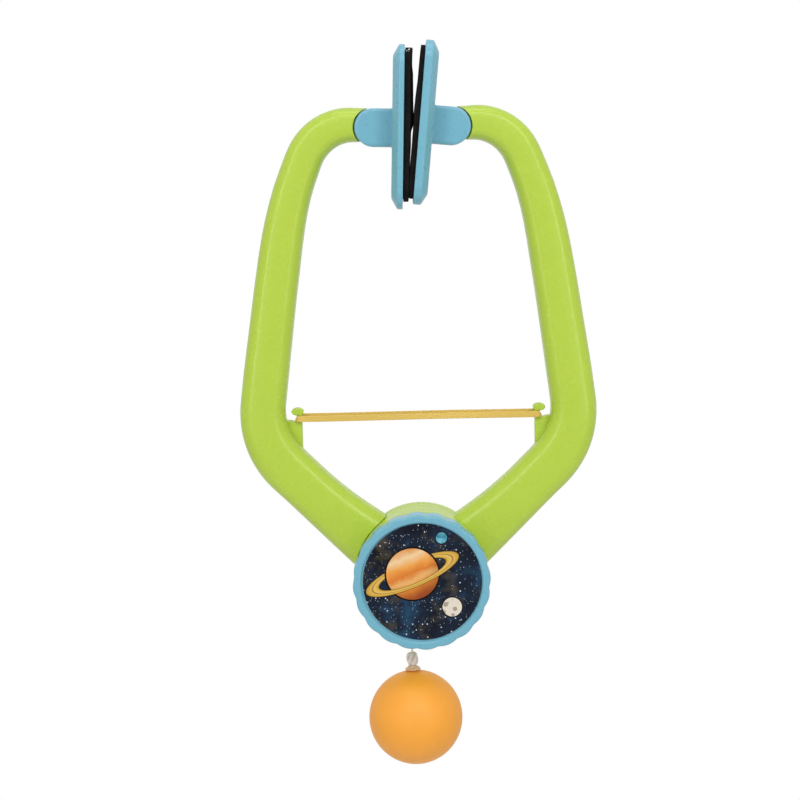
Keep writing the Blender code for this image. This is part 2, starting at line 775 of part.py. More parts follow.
def pad(label, side, parent, plastic, foam, steel):
    """A pad plate with its two cheeks, its facing and its pin, drawn about the pin's axis."""
    inward = -side
    outer = CLEVIS_REACH
    full = outer + BEVEL_T
    inner = outer + PLATE_T
    lean = PAD_CORNER_R - BEVEL_W
    rings = [
        rounded_rectangle(inward * outer, PAD_D - 2 * BEVEL_W, PAD_H - 2 * BEVEL_W, lean),
        rounded_rectangle(inward * full, PAD_D, PAD_H, PAD_CORNER_R),
        rounded_rectangle(inward * inner, PAD_D, PAD_H, PAD_CORNER_R),
    ]
    plate = lofted(f"{label}_pad_plate", rings)
    root = outer + EMBED
    outline = [(inward * root, -CLEVIS_R), (inward * root, CLEVIS_R)]
    outline += [
        (inward * x, z) for x, z in arc((0.0, 0.0), CLEVIS_R, math.pi / 2, 3 * math.pi / 2, 12)
    ]
    join(plate, extruded("cheek", outline, -HALF_DEPTH, -CLEVIS_GAP))
    join(plate, extruded("cheek", outline, CLEVIS_GAP, HALF_DEPTH))
    cut(plate, cylinder("hole", PIN_R + SEAT, -HALF_DEPTH + PIN_BLIND, ARM_DEPTH))
    finish(plate, parent, plastic)
    near = inner + SEAT
    far = near + FACING_T
    corner = PAD_CORNER_R - (PAD_H - FACING_H) / 2
    facing = lofted(
        f"{label}_pad_facing",
        [rounded_rectangle(inward * x, FACING_D, FACING_H, corner) for x in (near, far)],
    )
    crown(facing, inward * far)
    finish(facing, parent, foam)
    head = HALF_DEPTH + SEAT
    tip = -HALF_DEPTH + PIN_BLIND + SEAT
    pin = screw(f"{label}_pad_pin", PIN_R, tip, PIN_HEAD_R, head, head + PIN_HEAD_T)
    finish(pin, parent, steel)


def band_half(label, side, parent, rubber):
    """Half of the rubber band: two strands that meet in a loop round the hook's neck."""
    hook = hook_place()
    front, back = fin_depths()
    middle = (front + back) / 2
    loop_x = hook.x - NECK_W / 4
    corner = Vector((hook.x + NECK_W - loop_x, FIN_T / 2))
    inner = corner.length + SEAT
    outer = inner + BAND_T
    cut_x = BAND_SPLIT / 2
    outside = arc((loop_x, middle), outer, -math.pi / 2, math.pi / 2, 10)
    inside = arc((loop_x, middle), inner, math.pi / 2, -math.pi / 2, 10)
    outline = [
        (cut_x, middle - outer),
        *outside,
        (cut_x, middle + outer),
        (cut_x, middle + inner),
        *inside,
        (cut_x, middle - inner),
    ]
    low = hook.y + (NECK_H - BAND_H) / 2
    rings = [[(side * x, y, z) for x, y in outline] for z in (low, low + BAND_H)]
    half = lofted(f"rubber_band_{label}", rings)
    half.data.transform(Matrix.Translation((-side * hook.x, 0.0, -hook.y)))
    finish(half, parent, rubber)


def cord_pieces(hub, swing, material):
    """The cord inside the drum, and the short stretch below it."""
    start_x = -(SPOOL_CORE_R + WINDING_T + 3 * SEAT + CORD_R)
    steps = 8
    top = Vector((start_x, EXIT_Y, 0.0))
    mouth = Vector((EXIT_X, EXIT_Y, EXIT_Z + CORD_D))
    inside = tube("cord_inside", [top.lerp(mouth, step / steps) for step in range(steps + 1)], CORD_R)
    finish(inside, hub, material)
    top = Vector((0.0, 0.0, CORD_D - SEAT))
    end = Vector((0.0, 0.0, -CORD_OUT - CORD_SINK))
    run = tube("cord_run", [top.lerp(end, step / steps) for step in range(steps + 1)], CORD_R)
    finish(run, swing, material)


def knot(parent, material):
    """An overhand knot: a closed three-lobed loop that crosses itself."""
    count = 48
    middle = -KNOT_RISE - CORD_R
    points = []
    for index in range(count):
        turn = 2 * math.pi * index / count
        across = KNOT_LOOP * (math.sin(turn) + 2 * math.sin(2 * turn))
        up = KNOT_LOOP * (math.cos(turn) - 2 * math.cos(2 * turn))
        points.append((across, KNOT_DEPTH * math.sin(3 * turn), middle + up))
    finish(tube("cord_knot", points, CORD_R, closed=True), parent, material)


def ball_and_plug(parent, celluloid, clear):
    """The hollow ball, drawn below the knot's top, and the plug in its hole."""
    top = BALL_TOP - KNOT_TOP
    hole = PLUG_STEM_R + SEAT
    steps = 14
    inner = BALL_R - BALL_WALL
    outside = arc((0.0, 0.0), BALL_R, math.acos(hole / BALL_R), -math.pi / 2, steps)
    inside = arc((0.0, 0.0), inner, -math.pi / 2, math.acos(hole / inner), steps)
    profile = [(max(radius, 0.0), top - BALL_R + up) for radius, up in outside + inside]
    profile[steps] = (0.0, profile[steps][1])
    profile[steps + 1] = (0.0, profile[steps + 1][1])
    shell = [*profile[steps + 1 :], *profile[: steps + 1]]
    finish(turned("ball", shell, BALL_STEPS, upright=True), parent, celluloid)
    seat = top + SEAT
    under = top - BALL_WALL - 2 * SEAT
    stem = [
        (0.0, top - PLUG_STEM_L),
        (PLUG_STEM_R, top - PLUG_STEM_L),
        (PLUG_BARB_R, under - PLUG_STEM_R),
        (PLUG_BARB_R, under - SEAT),
        (PLUG_STEM_R, under),
        (PLUG_STEM_R, seat),
        (PLUG_FLANGE_R, seat),
        (PLUG_FLANGE_R, seat + PLUG_FLANGE_T * 0.7),
        (PLUG_FLANGE_R * 0.8, seat + PLUG_FLANGE_T),
        (0.0, seat + PLUG_FLANGE_T),
    ]
    finish(turned("ball_plug", stem, 2 * SMALL_ROUND, upright=True), parent, clear)


def main():
    """Build every piece and hang it on its joint."""
    clear_scene()
    green = make_material("green_plastic", (0.42, 0.63, 0.07), 0.3)
    blue = make_material("blue_plastic", (0.19, 0.48, 0.62), 0.35)
    foam = make_material("black_foam", (0.012, 0.011, 0.011), 0.8)
    rubber = make_material("amber_rubber", (0.72, 0.49, 0.13), 0.45)
    clear = make_material("clear_plastic", (0.78, 0.8, 0.82), 0.2)
    orange = make_material("orange_celluloid", (0.96, 0.41, 0.08), 0.45)
    steel = make_material("zinc_steel", (0.6, 0.6, 0.61), 0.3, 1.0)
    white = make_material("white_plastic", (0.8, 0.8, 0.78), 0.4)
    felt = make_material("grey_felt", (0.25, 0.25, 0.25), 0.9)
    print_blue = make_material("printed_disc", (0.03, 0.04, 0.14), 0.35)

    hub_at = Vector((0.0, 0.0, -HUB_DROP))
    exit_at = hub_at + Vector((EXIT_X, EXIT_Y, EXIT_Z))
    hook = hook_place()
    hub = make_joint("hub", hub_at)
    opening = make_joint("arm_open", hub_at)
    reel = make_joint("reel_spin", hub_at)
    swing = make_joint("ball_swing", exit_at)
    drop = make_joint("ball_drop", hub_at + Vector((EXIT_X, EXIT_Y, KNOT_TOP)))
    left_tilt = make_joint("left_pad_tilt", (-PIVOT_X, 0.0, 0.0), LEFT_TILT)
    right_tilt = make_joint("right_pad_tilt", (PIVOT_X, 0.0, 0.0), RIGHT_TILT)
    left_hook = make_joint("band_turn", hub_at + Vector((-hook.x, 0.0, hook.y)))
    right_hook = make_joint("band_stretch", hub_at + Vector((hook.x, 0.0, hook.y)))

    right_arm(hub, green)
    left_arm(opening, green)
    arm_screws("right", 1, hub, steel)
    arm_screws("left", -1, opening, steel)
    pivot_fasteners(hub, steel)
    washer_back = FLOOR_FRONT - SEAT
    ring = washer("friction_washer", SPOOL_PIN_R + RUN, FRICTION_R, washer_back - FRICTION_T, washer_back)
    finish(ring, hub, felt)
    spool(reel, white)
    winding(reel, clear)
    knob(reel, blue)
    knob_trim(reel, steel, print_blue)
    pad("left", -1, left_tilt, blue, foam, steel)
    pad("right", 1, right_tilt, blue, foam, steel)
    band_half("left", -1, left_hook, rubber)
    band_half("right", 1, right_hook, rubber)
    cord_pieces(hub, swing, clear)
    knot(drop, clear)
    ball_and_plug(drop, orange, clear)


main()
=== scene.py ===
"""Looks of the hanging table tennis trainer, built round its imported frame.

Lengths are in metres. X runs from pad to pad, Y from front to rear and Z up. Pieces on the hub are
drawn about the hub's axis and those on a pad about its pin, and are then set in place.
"""

import json
import math

import bmesh
import bpy
from mathutils import Matrix, Vector, noise


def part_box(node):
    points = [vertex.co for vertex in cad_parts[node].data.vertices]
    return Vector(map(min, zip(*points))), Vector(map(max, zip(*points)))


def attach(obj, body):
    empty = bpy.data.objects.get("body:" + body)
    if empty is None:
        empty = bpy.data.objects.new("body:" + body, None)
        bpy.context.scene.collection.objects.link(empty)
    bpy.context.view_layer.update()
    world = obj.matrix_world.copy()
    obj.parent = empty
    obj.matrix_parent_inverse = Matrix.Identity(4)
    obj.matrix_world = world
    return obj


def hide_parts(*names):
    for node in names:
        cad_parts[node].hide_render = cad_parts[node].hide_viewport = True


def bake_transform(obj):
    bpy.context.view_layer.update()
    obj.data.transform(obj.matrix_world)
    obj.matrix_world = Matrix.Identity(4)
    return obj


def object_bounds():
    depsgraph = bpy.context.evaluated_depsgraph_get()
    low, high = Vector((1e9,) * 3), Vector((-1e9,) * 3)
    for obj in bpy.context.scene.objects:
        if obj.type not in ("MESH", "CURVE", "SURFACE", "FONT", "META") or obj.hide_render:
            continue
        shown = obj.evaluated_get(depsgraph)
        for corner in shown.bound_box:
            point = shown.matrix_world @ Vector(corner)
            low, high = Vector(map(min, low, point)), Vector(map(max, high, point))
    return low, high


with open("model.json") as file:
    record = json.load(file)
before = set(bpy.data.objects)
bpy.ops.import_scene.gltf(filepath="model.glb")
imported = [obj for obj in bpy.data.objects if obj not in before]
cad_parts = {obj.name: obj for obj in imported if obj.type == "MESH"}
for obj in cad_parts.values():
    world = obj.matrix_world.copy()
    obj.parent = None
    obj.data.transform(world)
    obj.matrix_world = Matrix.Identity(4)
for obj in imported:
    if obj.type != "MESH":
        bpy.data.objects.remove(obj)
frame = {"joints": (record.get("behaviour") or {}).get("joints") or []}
cad_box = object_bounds()

MM = 0.001
TINY = 1e-9

# Places and sizes taken from the frame
JOINT_AT = {joint["name"]: Vector(joint["pos_m"]) for joint in frame["joints"] if "pos_m" in joint}
HUB = JOINT_AT["arm_open"]
HUB_DROP = -HUB.z
CORD_EXIT = JOINT_AT["ball_swing"]
PIVOT_X = JOINT_AT["right_pad_tilt"].x
BALL_TRAVEL = next(joint["range_m"][1] for joint in frame["joints"] if joint["name"] == "ball_drop")
BALL_LOW, BALL_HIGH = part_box("ball")
BALL_R = (BALL_HIGH.x - BALL_LOW.x) / 2
BALL_AT = (BALL_LOW + BALL_HIGH) / 2
BALL_CENTRE = Vector((BALL_AT.x, BALL_AT.y, BALL_LOW.z + BALL_R))
BAND_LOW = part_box("rubber_band_left")[0]
BAND_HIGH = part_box("rubber_band_right")[1]
DROP_LOW, DROP_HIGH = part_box("cord_run")
CENTRE = Vector((0.0, 0.0, (cad_box[0].z + cad_box[1].z) / 2))

# Clearances and common fillets
SEAT = 0.25 * MM
RUN = 0.4 * MM
OVERCUT = 1.0 * MM
OVERLAP = 0.01 * MM  # keeps faces from lying in one plane
MERGE = 0.004 * MM
CRISP = 0.2 * MM
LIP_R = 0.3 * MM
SOFT = 0.4 * MM

# Arms: the centreline of the right arm, measured from the hub axis
ROOT = Vector((0.0, -6.6)) * MM
ELBOW = Vector((68.3, 55.2)) * MM
BOW = Vector((54.0, 155.7)) * MM
TIP_Z = HUB_DROP + 0.8 * MM
ARM_CORNERS = (ROOT, ELBOW, BOW, Vector((40.1 * MM, TIP_Z)), Vector((PIVOT_X, TIP_Z)))
ELBOW_R = 34.5 * MM
SHOULDER_R = 22.4 * MM
BOW_RUN = 0.6 * MM
# The arm's width along it, in millimetres
ARM_WIDTHS = ((16.0, 25.3), (92.0, 18.7), (135.0, 18.7), (201.0, 15.3), (247.0, 13.7))
# How far the arm's inner and outer edges stand out from that width, along it in millimetres
EDGE_SHIFTS = (
    (16.0, 2.4, -0.2), (24.0, 1.65, -0.25), (32.0, 0.75, -0.28), (40.0, -0.2, -0.35),
    (48.0, -0.55, -0.45), (56.0, -0.5, -0.52), (64.0, -0.1, -0.6), (72.0, 0.85, -0.78),
    (80.0, 1.85, -0.45), (88.0, 1.5, 0.15), (96.0, 0.6, -0.05), (104.0, 0.3, -0.2),
    (112.0, 0.25, 0.1), (124.0, 0.05, 0.12), (136.0, -0.05, -0.2), (148.0, 0.07, 0.05),
    (160.0, 0.33, 0.18), (172.0, 0.9, 0.03), (184.0, 0.7, 0.0), (196.0, 0.3, 0.18),
    (206.0, 0.2, 0.25), (213.0, 0.65, -0.13), (220.0, 0.35, 0.3), (228.0, -0.75, 1.6),
    (236.0, -0.65, 0.4), (247.0, -0.3, 0.1),
)
WIDTH_BLUR = 10.0 * MM  # how far the changes of width are spread along the arm
HALF_DEPTH = 8.5 * MM
EDGE_SHARE = 0.29  # share of the arm's width that each rounded edge takes up
EDGE_DEPTH = 6.0 * MM
CROWN_LEAN = math.tan(math.radians(7.0))  # slope of the arm's faces where their rounding starts
PARTING = 0.12 * MM
ARM_STEP = 5.0 * MM
ARC_STEP = math.radians(2.5)
SCREW_STATIONS = (62.0 * MM, 128.0 * MM, 198.0 * MM)
SCREW_HEAD_R = 2.6 * MM
SCREW_HEAD_T = 1.4 * MM
LEFT_FRONT_IN = 4.0 * MM  # the left front shell starts so far inside the drum and is cut back to it

# Screws and pins: thickness of the head and radius of the shank
SHELL_SCREW = (SCREW_HEAD_T, 1.1 * MM)
PAD_PIN = (1.4 * MM, 1.6 * MM)
PIVOT_SCREW = (2.0 * MM, 1.6 * MM)
CAP_SCREW = (1.0 * MM, 1.2 * MM)
PIVOT_BORE_R = 1.85 * MM
# Heads: rounding and recess depth in thicknesses, the cross's reach and half width in radii
HEAD_CROWN = 0.75
CROSS_DEPTH = 0.6
CROSS_REACH = 0.58
CROSS_HALF = 0.14

# Band hooks
FIN_FRONT = 0.4 * MM
FIN_T = 4.0 * MM
FIN_REACH = 8.9 * MM
FIN_RISE = 6.2 * MM
FIN_EDGE = 0.5 * MM
FIN_STEP = 0.55 * MM  # how far the fin's top stands above the band's seat
FIN_SEAT = 1.15 * MM
FIN_RAMP = 2.0 * MM
NECK_W = 2.0 * MM
NECK_TOP_W = 1.25 * MM  # undercut, so that the band can turn on the hook
NECK_H = 2.6 * MM
HEAD_W = 5.2 * MM
HEAD_H = 3.2 * MM
HEAD_OVERHANG = 0.7 * MM

# Band: its loops lie square round the hooks' necks, under their heads
BAND_T = 1.0 * MM
BAND_EDGE = 0.25 * MM
BAND_TWIST = math.radians(9.0)
BAND_WAVE = 0.12 * MM
BAND_STEPS = 60
LOOP_STEPS = 28
LOOP_REACH = 3.05 * MM
LOOP_DROP = 0.92 * MM
LOOP_H = 1.1 * MM  # the band bunches up where it goes round the hook's neck
LOOP_T = 0.8 * MM

# Hub
HUB_R = 27.9 * MM
HUB_WALL = 2.2 * MM
HUB_ROOM_R = HUB_R - HUB_WALL
DRUM_FRONT = -15.5 * MM
DRUM_BACK = 3.85 * MM
DISC_FRONT = 4.1 * MM
DISC_BACK = 9.1 * MM
AXLE_R = 5.0 * MM
EXIT_R = 1.2 * MM
EXIT_MOUTH_R = 2.4 * MM
EXIT_FLARE = 1.4 * MM
FLOOR_FRONT = DRUM_BACK - HUB_WALL

# Spool
SPOOL_PIN_R = 2.5 * MM
SPOOL_PIN_END = FLOOR_FRONT - 9.5 * MM
STUB_R = 5.0 * MM
STUB_L = 3.0 * MM
SPOOL_R = 10.0 * MM
SPOOL_CORE_R = 4.5 * MM
FLANGE_T = 1.4 * MM
FELT_T = 0.8 * MM
SCREW_HOLE_R = 1.45 * MM
SCREW_HOLE_L = 6.0 * MM

# Knob
KNOB_R = 28.8 * MM
KNOB_BACK = DRUM_FRONT - RUN
KNOB_FRONT = KNOB_BACK - 8.0 * MM
KNOB_FLOOR = KNOB_FRONT + 1.0 * MM
KNOB_WALL = 2.2 * MM
LOBES = 20
LOBE_DEPTH = 0.65 * MM
LOBE_RUN = 1.6 * MM  # how far in from the rim the scallops fade
LOBE_TURN = math.radians(-4.95)
LOBE_POINTS = 14
RECESS_R = KNOB_R - 3.6 * MM
RECESS_LIP = 0.6 * MM  # a slope round the recess
LABEL_R = RECESS_R - 0.45 * MM
LABEL_T = 0.4 * MM
KNOB_SET = Vector((-0.12, 0.0, -0.35)) * MM  # the knob sits a little low on the spool
LABEL_SET = Vector((0.12, 0.0, 0.0)) * MM

# Pads
PAD_H = 66.4 * MM
PAD_D = 46.0 * MM
PAD_CORNER_R = 7.5 * MM
PLATE_T = {-1: 4.75 * MM, 1: 5.65 * MM}
BEVEL_T = 2.5 * MM
BEVEL_W = 4.5 * MM
CLEVIS_REACH = 7.9 * MM
CLEVIS_R = 7.75 * MM
CHEEK_ROOT = CLEVIS_REACH + 1.8 * MM
CHEEK_EDGE = 0.45 * MM
CHEEK_FILLET = 0.9 * MM
RIM_W = 0.65 * MM  # a shallow slope inside the cheeks' rounded edges
RIM_LEAN = math.radians(14.7)
RIM_SUPPORT = 0.06 * MM
TONGUE_T = 7.4 * MM
TONGUE_R = 5.5 * MM
CLEVIS_GAP = TONGUE_T / 2 + SEAT
NOTCH_R = CLEVIS_R + 0.6 * MM
LEFT_TILT = math.radians(2.0)
RIGHT_TILT = math.radians(5.85)

# Facings: height above the pin, and thickness at the front edge and behind it, in millimetres;
# the left one has come loose and bows out
LEFT_FOAM = (
    (-31.0, 2.2, 2.2), (-28.0, 2.33, 2.33), (-22.0, 2.35, 2.5), (-15.0, 2.4, 2.56),
    (-8.0, 2.45, 2.87), (-2.1, 2.45, 2.87), (0.3, 2.5, 3.6), (2.1, 2.5, 3.66), (5.0, 2.5, 3.72),
    (11.0, 2.45, 3.53), (20.0, 2.35, 3.34), (24.5, 2.35, 2.9), (26.5, 2.85, 2.95), (31.0, 3.0, 3.0),
)
RIGHT_FOAM = (
    (-31.0, 1.75, 1.75), (-28.0, 1.85, 1.85), (-22.0, 2.1, 2.1), (-15.0, 2.3, 2.3),
    (-9.0, 2.2, 2.2), (-2.5, 2.25, 2.25), (1.0, 2.4, 2.4), (4.0, 2.5, 2.5), (10.0, 2.36, 2.36),
    (20.0, 1.95, 1.95), (31.0, 1.85, 1.85),
)
FACING_H = 62.0 * MM
FACING_D = 41.0 * MM
FACING_LIFT = {-1: 0.9 * MM, 1: 0.0}  # the left facing is glued on a little high
FOAM_EDGE = 7.0 * MM  # how far behind the front edge a bulge is full
FOAM_FILLET = 0.45 * MM
FOAM_STEP = 1.2 * MM
FOAM_RINGS = 18
LUMP_W = 9.0 * MM
LUMP_H = 0.05 * MM
TAPE_T = {-1: 0.2 * MM, 1: 0.1 * MM}  # dark tape that holds the facings, set back from their edges; its near-black is partly painted shade of the gap
TAPE_INSET = 1.0 * MM
FLECK_DEPTH = 5.0 * MM  # how far back and down the pale flecks on the left facing reach
FLECK_DROP = 1.4 * MM

# Cord and ball
CORD_R = 0.4 * MM
TURN_PITCH = 0.83 * MM
TURN_R = 4.75 * MM + CORD_R
LAYER_T = 0.76 * MM
TURN_POINTS = 20
KNOT_R = 0.66 * MM  # the knot's strands lie doubled
KNOT_RING = 1.3 * MM
KNOT_FAT = 0.65 * MM
KNOT_HALF_H = 2.1 * MM
KNOT_TURNS = 2
KNOT_PASSES = 5
KNOT_START = 0.4
KNOT_POINTS = 200
BALL_WALL = 0.5 * MM
BALL_HOLE_R = 1.55 * MM
BALL_STEPS = 56
BALL_LIFT = Vector((-0.24, 0.0, 0.48)) * MM
# The ball hangs askew, so that its plug is off to the left and to the rear
BALL_LEAN = Matrix.Rotation(math.radians(-2.3), 3, "Y")
BALL_TURN = BALL_LEAN @ Matrix.Rotation(math.radians(-6.0), 3, "X")

# Facets, and the angles above which an edge stays sharp
ROUND = 128
MEDIUM_ROUND = 64
SMALL_ROUND = 40
SHARP = 38.0
SHARP_ON_SOFT = 60.0

# Colours, and ramps of (position, colour)
GREEN = (0.470, 0.640, 0.060)
BLUE = (0.173, 0.451, 0.575)
WHITE = (0.80, 0.80, 0.78)
# Near-black of the tape, which also paints the shade in the gap between plate and facing
TAPE_BLACK_AND_GAP_SHADE = (0.010, 0.010, 0.010)
ORANGE = (0.995, 0.402, 0.038)
ORANGE_SPECK = (0.30, 0.11, 0.03)
PALE_FLECK = (0.62, 0.64, 0.64)
FOAM = ((0.3, (0.0055, 0.0052, 0.0052)), (0.75, (0.0125, 0.012, 0.0116)))
AMBER = ((0.25, (0.70, 0.465, 0.088)), (0.55, (0.73, 0.495, 0.10)), (0.8, (0.755, 0.525, 0.113)))
ZINC = ((0.3, (0.50, 0.51, 0.52)), (0.7, (0.68, 0.68, 0.67)))
NYLON = (0.94, 0.88, 0.84)
# Clear nylon of the plug, tinted orange: painted light from the ball seen through it
NYLON_WITH_PAINTED_BALL_LIGHT = (0.92, 0.64, 0.37)
INK = (0.006, 0.005, 0.005)
SKY = ((0.38, (0.006, 0.007, 0.013)), (0.54, (0.010, 0.018, 0.038)), (0.72, (0.018, 0.075, 0.15)))
DUST = (0.16, 0.12, 0.045)
STAR = (0.62, 0.70, 0.78)
STARS = ((12.0, 0.45), (27.0, 0.35))  # how dense, and the share left out
STAR_R = 0.14  # in cells
RING = (
    (0.60, INK), (0.625, (0.62, 0.36, 0.05)), (0.70, (0.80, 0.55, 0.13)),
    (0.73, (0.30, 0.13, 0.03)), (0.75, (0.72, 0.46, 0.09)), (0.83, (0.58, 0.33, 0.05)), (0.85, INK),
)
PLANET = (
    (0.18, (0.46, 0.10, 0.02)), (0.34, (0.74, 0.24, 0.035)), (0.46, (0.80, 0.44, 0.15)),
    (0.54, (0.70, 0.20, 0.03)), (0.66, (0.84, 0.36, 0.07)), (0.80, (0.86, 0.62, 0.34)),
    (0.92, (0.72, 0.25, 0.04)),
)
PLANET_SHADE = (0.16, 0.03, 0.012)
CREAM = ((0.26, (0.40, 0.33, 0.25)), (0.34, (0.76, 0.69, 0.58)))
TEAL = ((0.40, (0.03, 0.20, 0.30)), (0.60, (0.16, 0.48, 0.58)))

# The print's places, sizes and outlines, in radii of the disc from its middle
PLANET_AT = (-0.16, 0.14)
PLANET_TURN = -22.0
PLANET_R = 0.47
PLANET_LINE = 0.03
PLANET_LIT = (-0.32, 0.32)
RING_FLAT = 0.27
RING_R = 0.73
RING_HALF = 0.135
CREAM_AT = (0.50, -0.44)
CREAM_R = 0.185
CREAM_LINE = 0.022
TEAL_AT = (0.34, 0.75)
TEAL_R = 0.115
TEAL_LINE = 0.02

# Light: levels of the white surroundings, in all and as gloss sees them
WORLD_LEVEL = 0.55
FRONT_GLOSS = 0.35
REAR_GLOSS = 0.85
# Lamps: azimuth and elevation from the object, distance, width, height, radiance, shown in gloss
LAMPS = (
    ("left", -29.0, 17.0, 1.2, 0.16, 1.2, 4.5, True),
    ("right", 29.0, 17.0, 1.2, 0.16, 1.2, 4.4, True),
    ("front", 3.0, 34.0, 1.3, 1.0, 0.5, 2.4, True),
    ("top", 10.0, 80.0, 1.1, 0.6, 0.6, 1.6, True),
    ("rear", 180.0, 20.0, 1.3, 1.0, 0.6, 2.4, False),
)
FLOOR_HALF = 1.6
FLOOR_GAP = 30.0 * MM
FLOOR_GLOW = 0.75  # how far the floor shows plain white under the object, and wholly so at its rim

# Camera
IMAGE_PX = 800
FOCAL_PX = 1700.0
SENSOR = 36.0
CAMERA_FAR = 721.0 * MM
CAMERA_AZIMUTH = 0.3
CAMERA_ELEVATION = 7.5
CAMERA_ROLL = math.radians(1.25)
LOOK_AT = Vector((-7.65, 0.0, -114.2)) * MM

ADD = "UNION"
CUT = "DIFFERENCE"


def arc(centre, radius, start, stop, steps):
    """Points on a circle from one angle to another."""
    angles = [start + (stop - start) * step / steps for step in range(steps + 1)]
    return [(centre[0] + radius * math.cos(a), centre[1] + radius * math.sin(a)) for a in angles]


def bend(before, corner, after):
    """The angle by which a polyline turns at a corner."""
    heading = corner - before
    leaving = after - corner
    return math.atan2(heading.cross(leaving), heading.dot(leaving))


def rounded_corner(before, corner, after, radius, steps):
    """Points of the arc that replaces a corner of a polyline."""
    heading = (corner - before).normalized()
    turn = bend(before, corner, after)
    first = corner - heading * radius * math.tan(abs(turn) / 2)
    centre = first + Vector((-heading.y, heading.x)) * math.copysign(radius, turn)
    spins = [Matrix.Rotation(turn * step / steps, 2) for step in range(steps + 1)]
    return [centre + spin @ (first - centre) for spin in spins]


def filleted(corners, steps=5, closed=False):
    """A polyline through (x, y, radius) corners, each rounded by its radius."""
    points = []
    count = len(corners)
    for index, (x, y, radius) in enumerate(corners):
        here = Vector((x, y))
        if radius == 0.0 or (not closed and index in (0, count - 1)):
            points.append(here)
            continue
        before = Vector(corners[index - 1][:2])
        after = Vector(corners[(index + 1) % count][:2])
        points += rounded_corner(before, here, after, radius, steps)
    return points


def rounded_rectangle(width, height, radius, steps=10):
    """The outline of a rectangle with rounded corners."""
    signs = ((1, 1), (-1, 1), (-1, -1), (1, -1))
    return filleted([(u * width / 2, v * height / 2, radius) for u, v in signs], steps, closed=True)


def mirrored(outline, side):
    """An outline of (x, z) points, mirrored if the side is -1."""
    return [(side * x, z) for x, z in outline]


def inset(outline, distance):
    """An outline of (x, z) points drawn in by a distance."""
    points = [Vector(point) for point in outline]
    count = len(points)
    turn = math.copysign(1.0, sum(points[i - 1].cross(points[i]) for i in range(count)))
    drawn = []
    for index, point in enumerate(points):
        first = (point - points[index - 1]).normalized()
        second = (points[(index + 1) % count] - point).normalized()
        inward = Vector((-first.y - second.y, first.x + second.x)) * turn
        drawn.append(point + inward * distance / max(1.0 + first.dot(second), 0.4))
    return drawn


def ease(share):
    """A share from 0 to 1 that starts and ends gently."""
    share = min(max(share, 0.0), 1.0)
    return share * share * (3.0 - 2.0 * share)


def along(table, place, column, eased=False, held=True):
    """A value at a place along a table in millimetres; may be eased, or held before the start."""
    row = 1
    while row < len(table) - 1 and place > table[row][0] * MM:
        row += 1
    first, second = table[row - 1], table[row]
    share = min((place / MM - first[0]) / (second[0] - first[0]), 1.0)
    if held:
        share = max(share, 0.0)
    if eased:
        share = ease(share)
    return (first[column] + (second[column] - first[column]) * share) * MM


def make_object(name, bm):
    """Turn a bmesh into an object whose faces point out."""
    bmesh.ops.recalc_face_normals(bm, faces=bm.faces)
    mesh = bpy.data.meshes.new(name)
    bm.to_mesh(mesh)
    bm.free()
    thing = bpy.data.objects.new(name, mesh)
    bpy.context.scene.collection.objects.link(thing)
    return thing


def bridge(bm, first, second):
    """Faces between two rings of vertices, either of which may be a single point."""
    count = max(len(first), len(second))
    for index in range(count):
        after = (index + 1) % count
        corners = [first[index % len(first)], first[after % len(first)]]
        corners += [second[after % len(second)], second[index % len(second)]]
        corners = list(dict.fromkeys(corners))
        if len(corners) > 2:
            bm.faces.new(corners)


def lofted(name, rings, closed=False):
    """A body through rings of points, closed on itself or capped where an end isn't one point."""
    bm = bmesh.new()
    loops = [[bm.verts.new(point) for point in ring] for ring in rings]
    for first, second in zip(loops, loops[1:] + loops[:closed]):
        bridge(bm, first, second)
    for loop in () if closed else (loops[0], loops[-1]):
        if len(loop) > 1:
            bm.faces.new(loop)
    return make_object(name, bm)


def spun(name, profile, segments=ROUND, closed=False, radius_at=lambda radius, angle: radius):
    """A body turned about Y from (radius, y) points; radius_at varies the radius with the angle."""
    angles = [2 * math.pi * index / segments for index in range(segments)]
    rings = []
    for radius, y in profile:
        polar = [(0.0, 0.0)] if radius < TINY else [(radius_at(radius, a), a) for a in angles]
        rings.append([(size * math.cos(a), y, size * math.sin(a)) for size, a in polar])
    return lofted(name, rings, closed)


def turned(name, corners, steps=5, segments=ROUND, closed=False, **more):
    """A body turned about Y from (radius, y, fillet) corners."""
    return spun(name, filleted(corners, steps, closed), segments, closed, **more)


def rounded_edge(radius, start=0.0, deep=0.0):
    """An edge's profile from the face outwards, as (how far it is drawn in, how deep it lies)."""
    steps = 4
    angles = [start + (math.pi / 2 - start) * step / steps for step in range(steps + 1)]
    scale = radius / (1.0 - math.sin(start))
    deep -= scale * (1.0 - math.cos(start))
    return [(scale * (1.0 - math.sin(a)), deep + scale * (1.0 - math.cos(a))) for a in angles]


def slab(name, outline, low, high, front, rear=None):
    """A body along Y with an outline of (x, z) points and the edge profiles of its two faces."""
    rings = [(drawn, low + deep) for drawn, deep in front]
    rings += [(drawn, high - deep) for drawn, deep in reversed(rear or front)]
    return lofted(name, [[(x, y, z) for x, z in inset(outline, drawn)] for drawn, y in rings])


